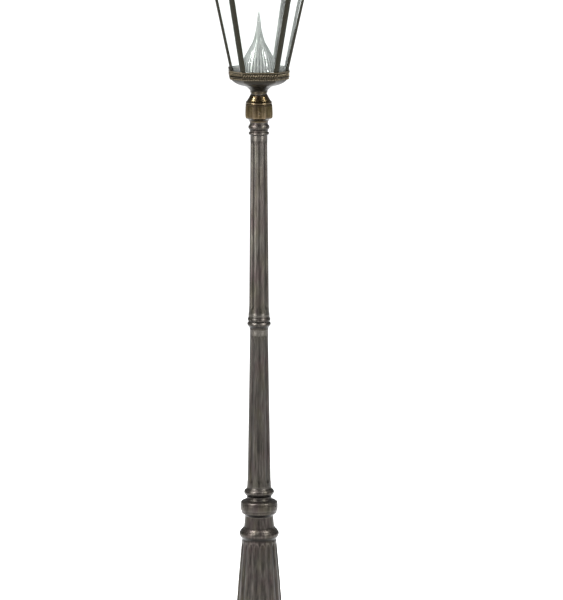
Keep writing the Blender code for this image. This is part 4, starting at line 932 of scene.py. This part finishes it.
# %% Turn and rib the cone
def ribs(count, steps, narrowest, lowest, depth):
    """In edit mode, presses thin upright grooves into an outer surface, evenly round it."""
    mesh = bmesh.from_edit_mesh(bpy.context.object.data)
    rows = {}
    for v in mesh.verts:
        r, z = v.co.xy.length / MM, v.co.z / MM
        column = round(math.atan2(v.co.y, v.co.x) / TURN * steps) % (steps // count)
        if column == 0 and r > narrowest and z > lowest:
            rows.setdefault((round(z, 2), round(r, 2)), []).append(v)

    def outside(z, r):
        """The inner wall has the outer one close by, well over 8 mm wider."""
        return r < 22.0 or not any(abs(z - other) < 6.0 and r < wide - 8.0 for other, wide in rows)

    outer = [(z, r) for z, r in rows if outside(z, r)]
    for z, r in outer:
        bpy.ops.mesh.select_all(action="DESELECT")
        for v in rows[(z, r)]:
            v.select_set(True)
        bpy.ops.transform.resize(value=(1 - depth, 1 - depth, 1.0), center_override=(0, 0, z * MM))
    print("  ribbed rows:", len(outer))


CONE_STEPS = 256
SHELF_DEPTH = 0.9
cone = curve([(78.0, 2674.2), (78.0, 2681.0), (73.4, 2706.0), (66.6, 2730.0), (54.7, 2753.0), (42.7, 2775.0),
              (33.4, 2792.0), (25.6, 2808.0), (17.2, 2839.0), (11.2, 2866.0), (7.6, 2902.0), (2.2, 2935.4)], 7)
cone_inner = curve([(1.0, 2833.0), (13.4, 2831.0), (22.2, 2806.0), (29.9, 2790.0), (39.2, 2772.0), (51.2, 2750.0),
                    (63.0, 2727.0), (69.8, 2704.0), (74.4, 2681.0), (74.5, 2674.2)], 3)
stepped = [(r - SHELF_DEPTH * (k % 2) * min(1.0, r / 30), z) for k, (r, z) in enumerate(cone)]
whole = [(0.0, 2936.0), (1.2, 2935.9)] + stepped[::-1] + cone_inner[::-1] + [(0.0, 2833.2)]
refractor = turned("glass_cone", whole, steps=CONE_STEPS, closed=False, done=False)
ribs(RIBS, CONE_STEPS, narrowest=7.0, lowest=2676.0, depth=0.06)
leave(refractor, 25.0)
settle(refractor, "post", prism, "refractor")

# %% [markdown]
# ## Inside the lantern
#
# A white gallery closes the bowl and carries the lampholder, and the lamp stands in it. The bulb
# follows the CAD lamp's own height, read from its box, so it always ends where the CAD lamp does.

# %% Gallery, lampholder and lamp
gallery_outline = [(30.0, 2624.2), (30.0, 2641.0)]
gallery_outline += curve([(31.0, 2644.0), (42.0, 2655.0), (60.0, 2662.0), (74.0, 2664.6)])
gallery_outline += curve([(80.4, 2666.0), (82.0, 2668.0), (82.0, 2672.4), (80.8, 2673.9)], 2)
gallery_outline += [(7.0, 2673.9), (7.0, 2667.9), (24.0, 2661.9), (24.0, 2624.2)]
settle(turned("gallery", gallery_outline), "post", enamel, "lamp_gallery")
settle(softened("lampholder", 0.8), "post", enamel, "lampholder")
low, top = (corner.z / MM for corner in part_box("lamp"))
centre = top - 23.0
bulb = [(0.0, low), (9.3, low), (12.4, low + 1.2), (13.3, low + 3), (13.3, low + 32), (13.3, centre - 40)]
bulb += curve([(14.2, centre - 34), (17.6, centre - 20), (21.6, centre - 9), (23.0, centre), (21.4, centre + 9),
               (16.2, centre + 16.3), (8.4, centre + 21.4), (2.0, centre + 22.9)])
bulb += [(0.0, top)]
settle(turned("lamp_bulb", bulb, 64, closed=False, angle=40), "post", opal, "lamp")

# %% [markdown]
# ## The hood
#
# The hood is a swept eight-sided roof above a straight fascia, and a roll covers each of its eight
# corners. The roof grows from the fascia's foot, up the outside and down the inside. A curve with
# a round bevel is the easiest way to make a roll, and it is made a mesh before it is joined on.

# %% Fascia and swept roof
HOOD_HALF = 225.9
HOOD_SHARE = 0.6365  # half the length of a wide face, as a share of its distance
ROOF_WALL = 4.0
sweep = curve([(0.0, 0.0), (0.10, 0.07), (0.34, 0.20), (0.62, 0.43), (0.84, 0.72), (1.0, 1.0)], 3)
hood_outline = [(217.9 - 151.9 * run, 3147.9 + 165.0 * rise) for run, rise in sweep]
lining = [(r - ROOF_WALL, z - ROOF_WALL) for r, z in reversed(hood_outline[2:])]
roof = octagon("roof", HOOD_HALF, HOOD_HALF * HOOD_SHARE, 3127.9, 3)
grow(flat([(HOOD_HALF, 3131.0), (223.4, 3132.6), (223.4, 3143.0), (HOOD_HALF, 3144.6), (HOOD_HALF, 3147.9)]
          + hood_outline + [(40.5, 3312.9), (40.5, 3308.9)] + lining + [(221.9, 3143.9), (221.9, 3127.9)]))
pick(lambda p: abs(p.z - 3127.9) < 0.01)
bpy.ops.mesh.bridge_edge_loops()
leave(roof, 20.0)
print("Roof vertices:", len(roof.data.vertices))

# %% Hip rolls
hips = bpy.data.curves.new("hips", "CURVE")
hips.dimensions = "3D"
hips.bevel_depth = 4.0 * MM
hips.bevel_resolution = 3
hips.use_fill_caps = True
for k in range(8):
    mirror = (1, -1)[k % 2]
    quarter = Matrix.Rotation(TURN / 4 * (k // 2), 3, "Z")
    strand = hips.splines.new("POLY")
    strand.points.add(len(hood_outline) - 2)
    for point, (r, z) in zip(strand.points, hood_outline[1:]):
        point.co = (*(quarter @ Vector((r, mirror * r * HOOD_SHARE, z - 1.0))) * MM, 1.0)
rolls = bpy.data.objects.new("hip_rolls", hips)
bpy.context.scene.collection.objects.link(rolls)
only(rolls)
bpy.ops.object.convert(target="MESH")
leave(rolls, 50.0)
merge(roof, rolls)
settle(roof, "hood", bronze, "hood")
settle(softened("reflector", 0.5), "hood", enamel, "reflector")

# %% [markdown]
# ## The chimney, the cap and the finial
#
# Warm air leaves through the slots in a short drum, under a cap that keeps the rain out. The slots
# are cut by six long boxes that each pass through both walls, so six cuts make twelve slots.
# The finial is turned solid, so its outline starts and ends on the axis.

# %% Chimney drum
drum_outline = [(40.5, 3313.2), (60.0, 3313.2), (60.0, 3316.0)]
drum_outline += curve([(58.6, 3317.4), (50.0, 3319.6), (46.0, 3323.0), (44.0, 3326.6)]) + [(44.0, 3362.0)]
drum_outline += curve([(44.2, 3364.2), (45.8, 3365.4), (46.0, 3368.0), (45.6, 3370.6)], 3) + [(40.5, 3370.6)]
drum = turned("drum", drum_outline)
vent_slots = []
for k in range(6):
    slot = box_piece((-60.0, -3.6, 3331.4), (60.0, 3.6, 3358.4))
    slot.rotation_euler.z = k * TURN / 12
    only(slot)
    bpy.ops.object.transform_apply()
    vent_slots.append(slot)
cut(drum, vent_slots)
leave(drum)
settle(drum, "hood", bronze, "chimney")

# %% Vent cap
dome = [(46.0, 3370.9)] + curve([(62.6, 3370.9), (64.0, 3372.0), (64.0, 3374.6), (62.4, 3376.0)], 3)
dome += curve([(60.4, 3377.4), (52.0, 3382.9), (42.0, 3392.4), (34.0, 3399.0), (24.0, 3405.4), (17.4, 3409.4)])
dome += [(16.6, 3410.0), (16.6, 3412.6), (6.0, 3412.6), (6.0, 3404.9), (31.0, 3391.9), (44.0, 3378.6)]
settle(turned("cap_dome", dome), "hood", bronze, "vent_cap")

# %% Finial
z = 3412.9
knob = [(0.0, z), (14.6, z), (15.0, z + 0.8), (15.0, z + 4.2), (13.4, z + 5.6), (9.6, z + 7.4)]
knob += [(8.2, z + 10.4), (8.0, z + 13.0), (9.0, z + 16.2), (9.0, z + 17.6)]
knob += curve([(9.0, z + 18.4), (13.9, z + 22.6), (17.0, z + 28.0), (18.0, z + 34.0),
               (17.0, z + 40.0), (13.9, z + 45.4), (9.0, z + 49.6)])
knob += curve([(7.4, z + 52.0), (7.2, z + 54.6), (9.4, z + 56.4), (10.0, z + 59.0), (9.4, z + 61.6),
               (7.2, z + 63.6)], 3)
knob += curve([(6.4, z + 65.0), (6.6, z + 70.0), (8.8, z + 75.0), (8.2, z + 82.0), (4.4, z + 96.0), (1.4, z + 111.2)])
knob += [(0.0, z + 112.0)]
settle(turned("finial_knob", knob, 64, closed=False), "hood", bronze, "finial")

# %% [markdown]
# ## The door, hinges, screws and service gear
#
# These are small or flat, so each is a copy of its CAD node with softened edges. The door is
# large, so its edges are rounder. Three screws get a driver slot across the head's outer side.

# %% Small parts
BODY_OF = {
    "access_door": "door", "door_lock": "door_lock", "fuse_carrier": "fuse_carrier",
    "hinge_leaf": "hood", "catch_stud": "hood", "hood_catch": "hood_catch",
}
SLOTTED = {"coupling_screw_front": -1, "coupling_screw_rear": 1, "catch_stud": -1}
SMALL = [
    "access_door", "door_pintle_lower", "door_pintle_upper", "door_lock", "gear_board", "board_strap",
    "cut_out_body", "fuse_carrier", "terminal_block", "hinge_bracket", "hinge_leaf", "hinge_pin",
    "hood_catch", "catch_screw", "catch_stud", "coupling_screw_front", "coupling_screw_rear",
    "neck_gasket", "stem_nut",
]
for node in SMALL:
    large = node == "access_door"
    piece = softened(node, 1.2 if large else 0.4, segments=3 if large else 2)
    if node in SLOTTED:
        low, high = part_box(node)
        side = SLOTTED[node]
        face = (low.y if side < 0 else high.y) / MM
        x, z, wide = (low.x + high.x) / 2 / MM, (low.z + high.z) / 2 / MM, (high.x - low.x) / MM
        near, far = sorted((face - side, face + side))
        cut(piece, [box_piece((x - wide, near, z - 0.5), (x + wide, far, z + 0.5))])
        even(leave(piece))
    finish = dull_steel if node.startswith("coupling_screw") else finishes[slots[node]]
    settle(piece, BODY_OF.get(node, "post"), finish, node)

# %% [markdown]
# ## The studio
#
# A wide, pale, matt floor fills the background. Waxed metal mirrors what stands round it, so a
# tall strip on each side gives the long highlights that show the flutes, and a smaller lamp high
# on each side picks out the mouldings. The soft sun is kept out of reflections: it only
# brightens the floor.

# %% Floor
bpy.ops.mesh.primitive_plane_add(size=140.0, location=(0.0, 20.0, 0.0))
floor = bpy.context.object
floor.name = "floor"
paper = bpy.data.materials.new("floor")
paper.use_nodes = True
matt = paper.node_tree.nodes["Principled BSDF"]
matt.inputs["Base Color"].default_value = (0.92, 0.92, 0.92, 1.0)
matt.inputs["Roughness"].default_value = 0.9
floor.data.materials.append(paper)
print("Floor size in metres:", tuple(round(side, 1) for side in floor.dimensions))

# %% World and lights
scene = bpy.context.scene
scene.world = bpy.data.worlds.new("studio")
scene.world.use_nodes = True
backdrop = scene.world.node_tree.nodes["Background"]
backdrop.inputs["Color"].default_value = (0.97, 0.98, 1.0, 1.0)
backdrop.inputs["Strength"].default_value = 0.26
scene.view_settings.view_transform = "Standard"
VIEW_TURN = math.radians(-2.0)


def light(name, kind, energy, place, aim, **settings):
    """A lamp at a place, turned to face a point."""
    data = bpy.data.lights.new(name, kind)
    data.energy = energy
    for key, value in settings.items():
        setattr(data, key, value)
    lamp = bpy.data.objects.new(name, data)
    scene.collection.objects.link(lamp)
    lamp.location = place
    lamp.rotation_euler = (Vector(aim) - Vector(place)).to_track_quat("-Z", "Y").to_euler()
    return lamp


# name, angle from the view in degrees, energy, distance, height, height aimed at, width, length
SOFT_LIGHTS = (
    ("left strip", -48.0, 215.0, 3.2, 4.05, 4.05, 1.0, 5.7),
    ("right strip", 46.0, 135.0, 3.2, 4.05, 4.05, 1.0, 5.7),
    ("left top", -72.0, 300.0, 2.4, 5.3, 2.4, 0.8, 1.8),
    ("right top", 70.0, 205.0, 2.4, 5.3, 2.4, 0.8, 1.8),
)
for name, degrees, energy, distance, stand, aim_height, width, length in SOFT_LIGHTS:
    angle = VIEW_TURN + math.radians(degrees)
    place = (distance * math.sin(angle), -distance * math.cos(angle), stand)
    light(name, "AREA", energy, place, (0.0, 0.0, aim_height), shape="RECTANGLE", size=width, size_y=length)
sky = light("sky", "SUN", 3.7, (0.0, 1.0, 6.0), (0.0, 0.0, 0.0), angle=math.radians(60))
sky.visible_glossy = False

# %% [markdown]
# The camera stands far off and a little above, with a long lens, so upright lines stay almost
# parallel. It is placed by its distance and angle, and then turned to face its aim.

# %% Camera
DISTANCE, AIM_Z, AIM_SIDE = 25.0, 1.645, 0.100
RISE = math.tan(math.radians(10.0)) * DISTANCE
side = Vector((math.cos(VIEW_TURN), math.sin(VIEW_TURN), 0.0))
aim = side * AIM_SIDE + Vector((0.0, 0.0, AIM_Z))
spot = Vector((DISTANCE * math.sin(VIEW_TURN), -DISTANCE * math.cos(VIEW_TURN), AIM_Z + RISE)) + side * AIM_SIDE
bpy.ops.object.camera_add(location=spot)
camera = bpy.context.object
camera.rotation_euler = (aim - spot).to_track_quat("-Z", "Y").to_euler()
camera.data.lens = 342.4
camera.data.clip_end = 200.0
scene.camera = camera
print("Camera at", tuple(round(x, 3) for x in camera.location))
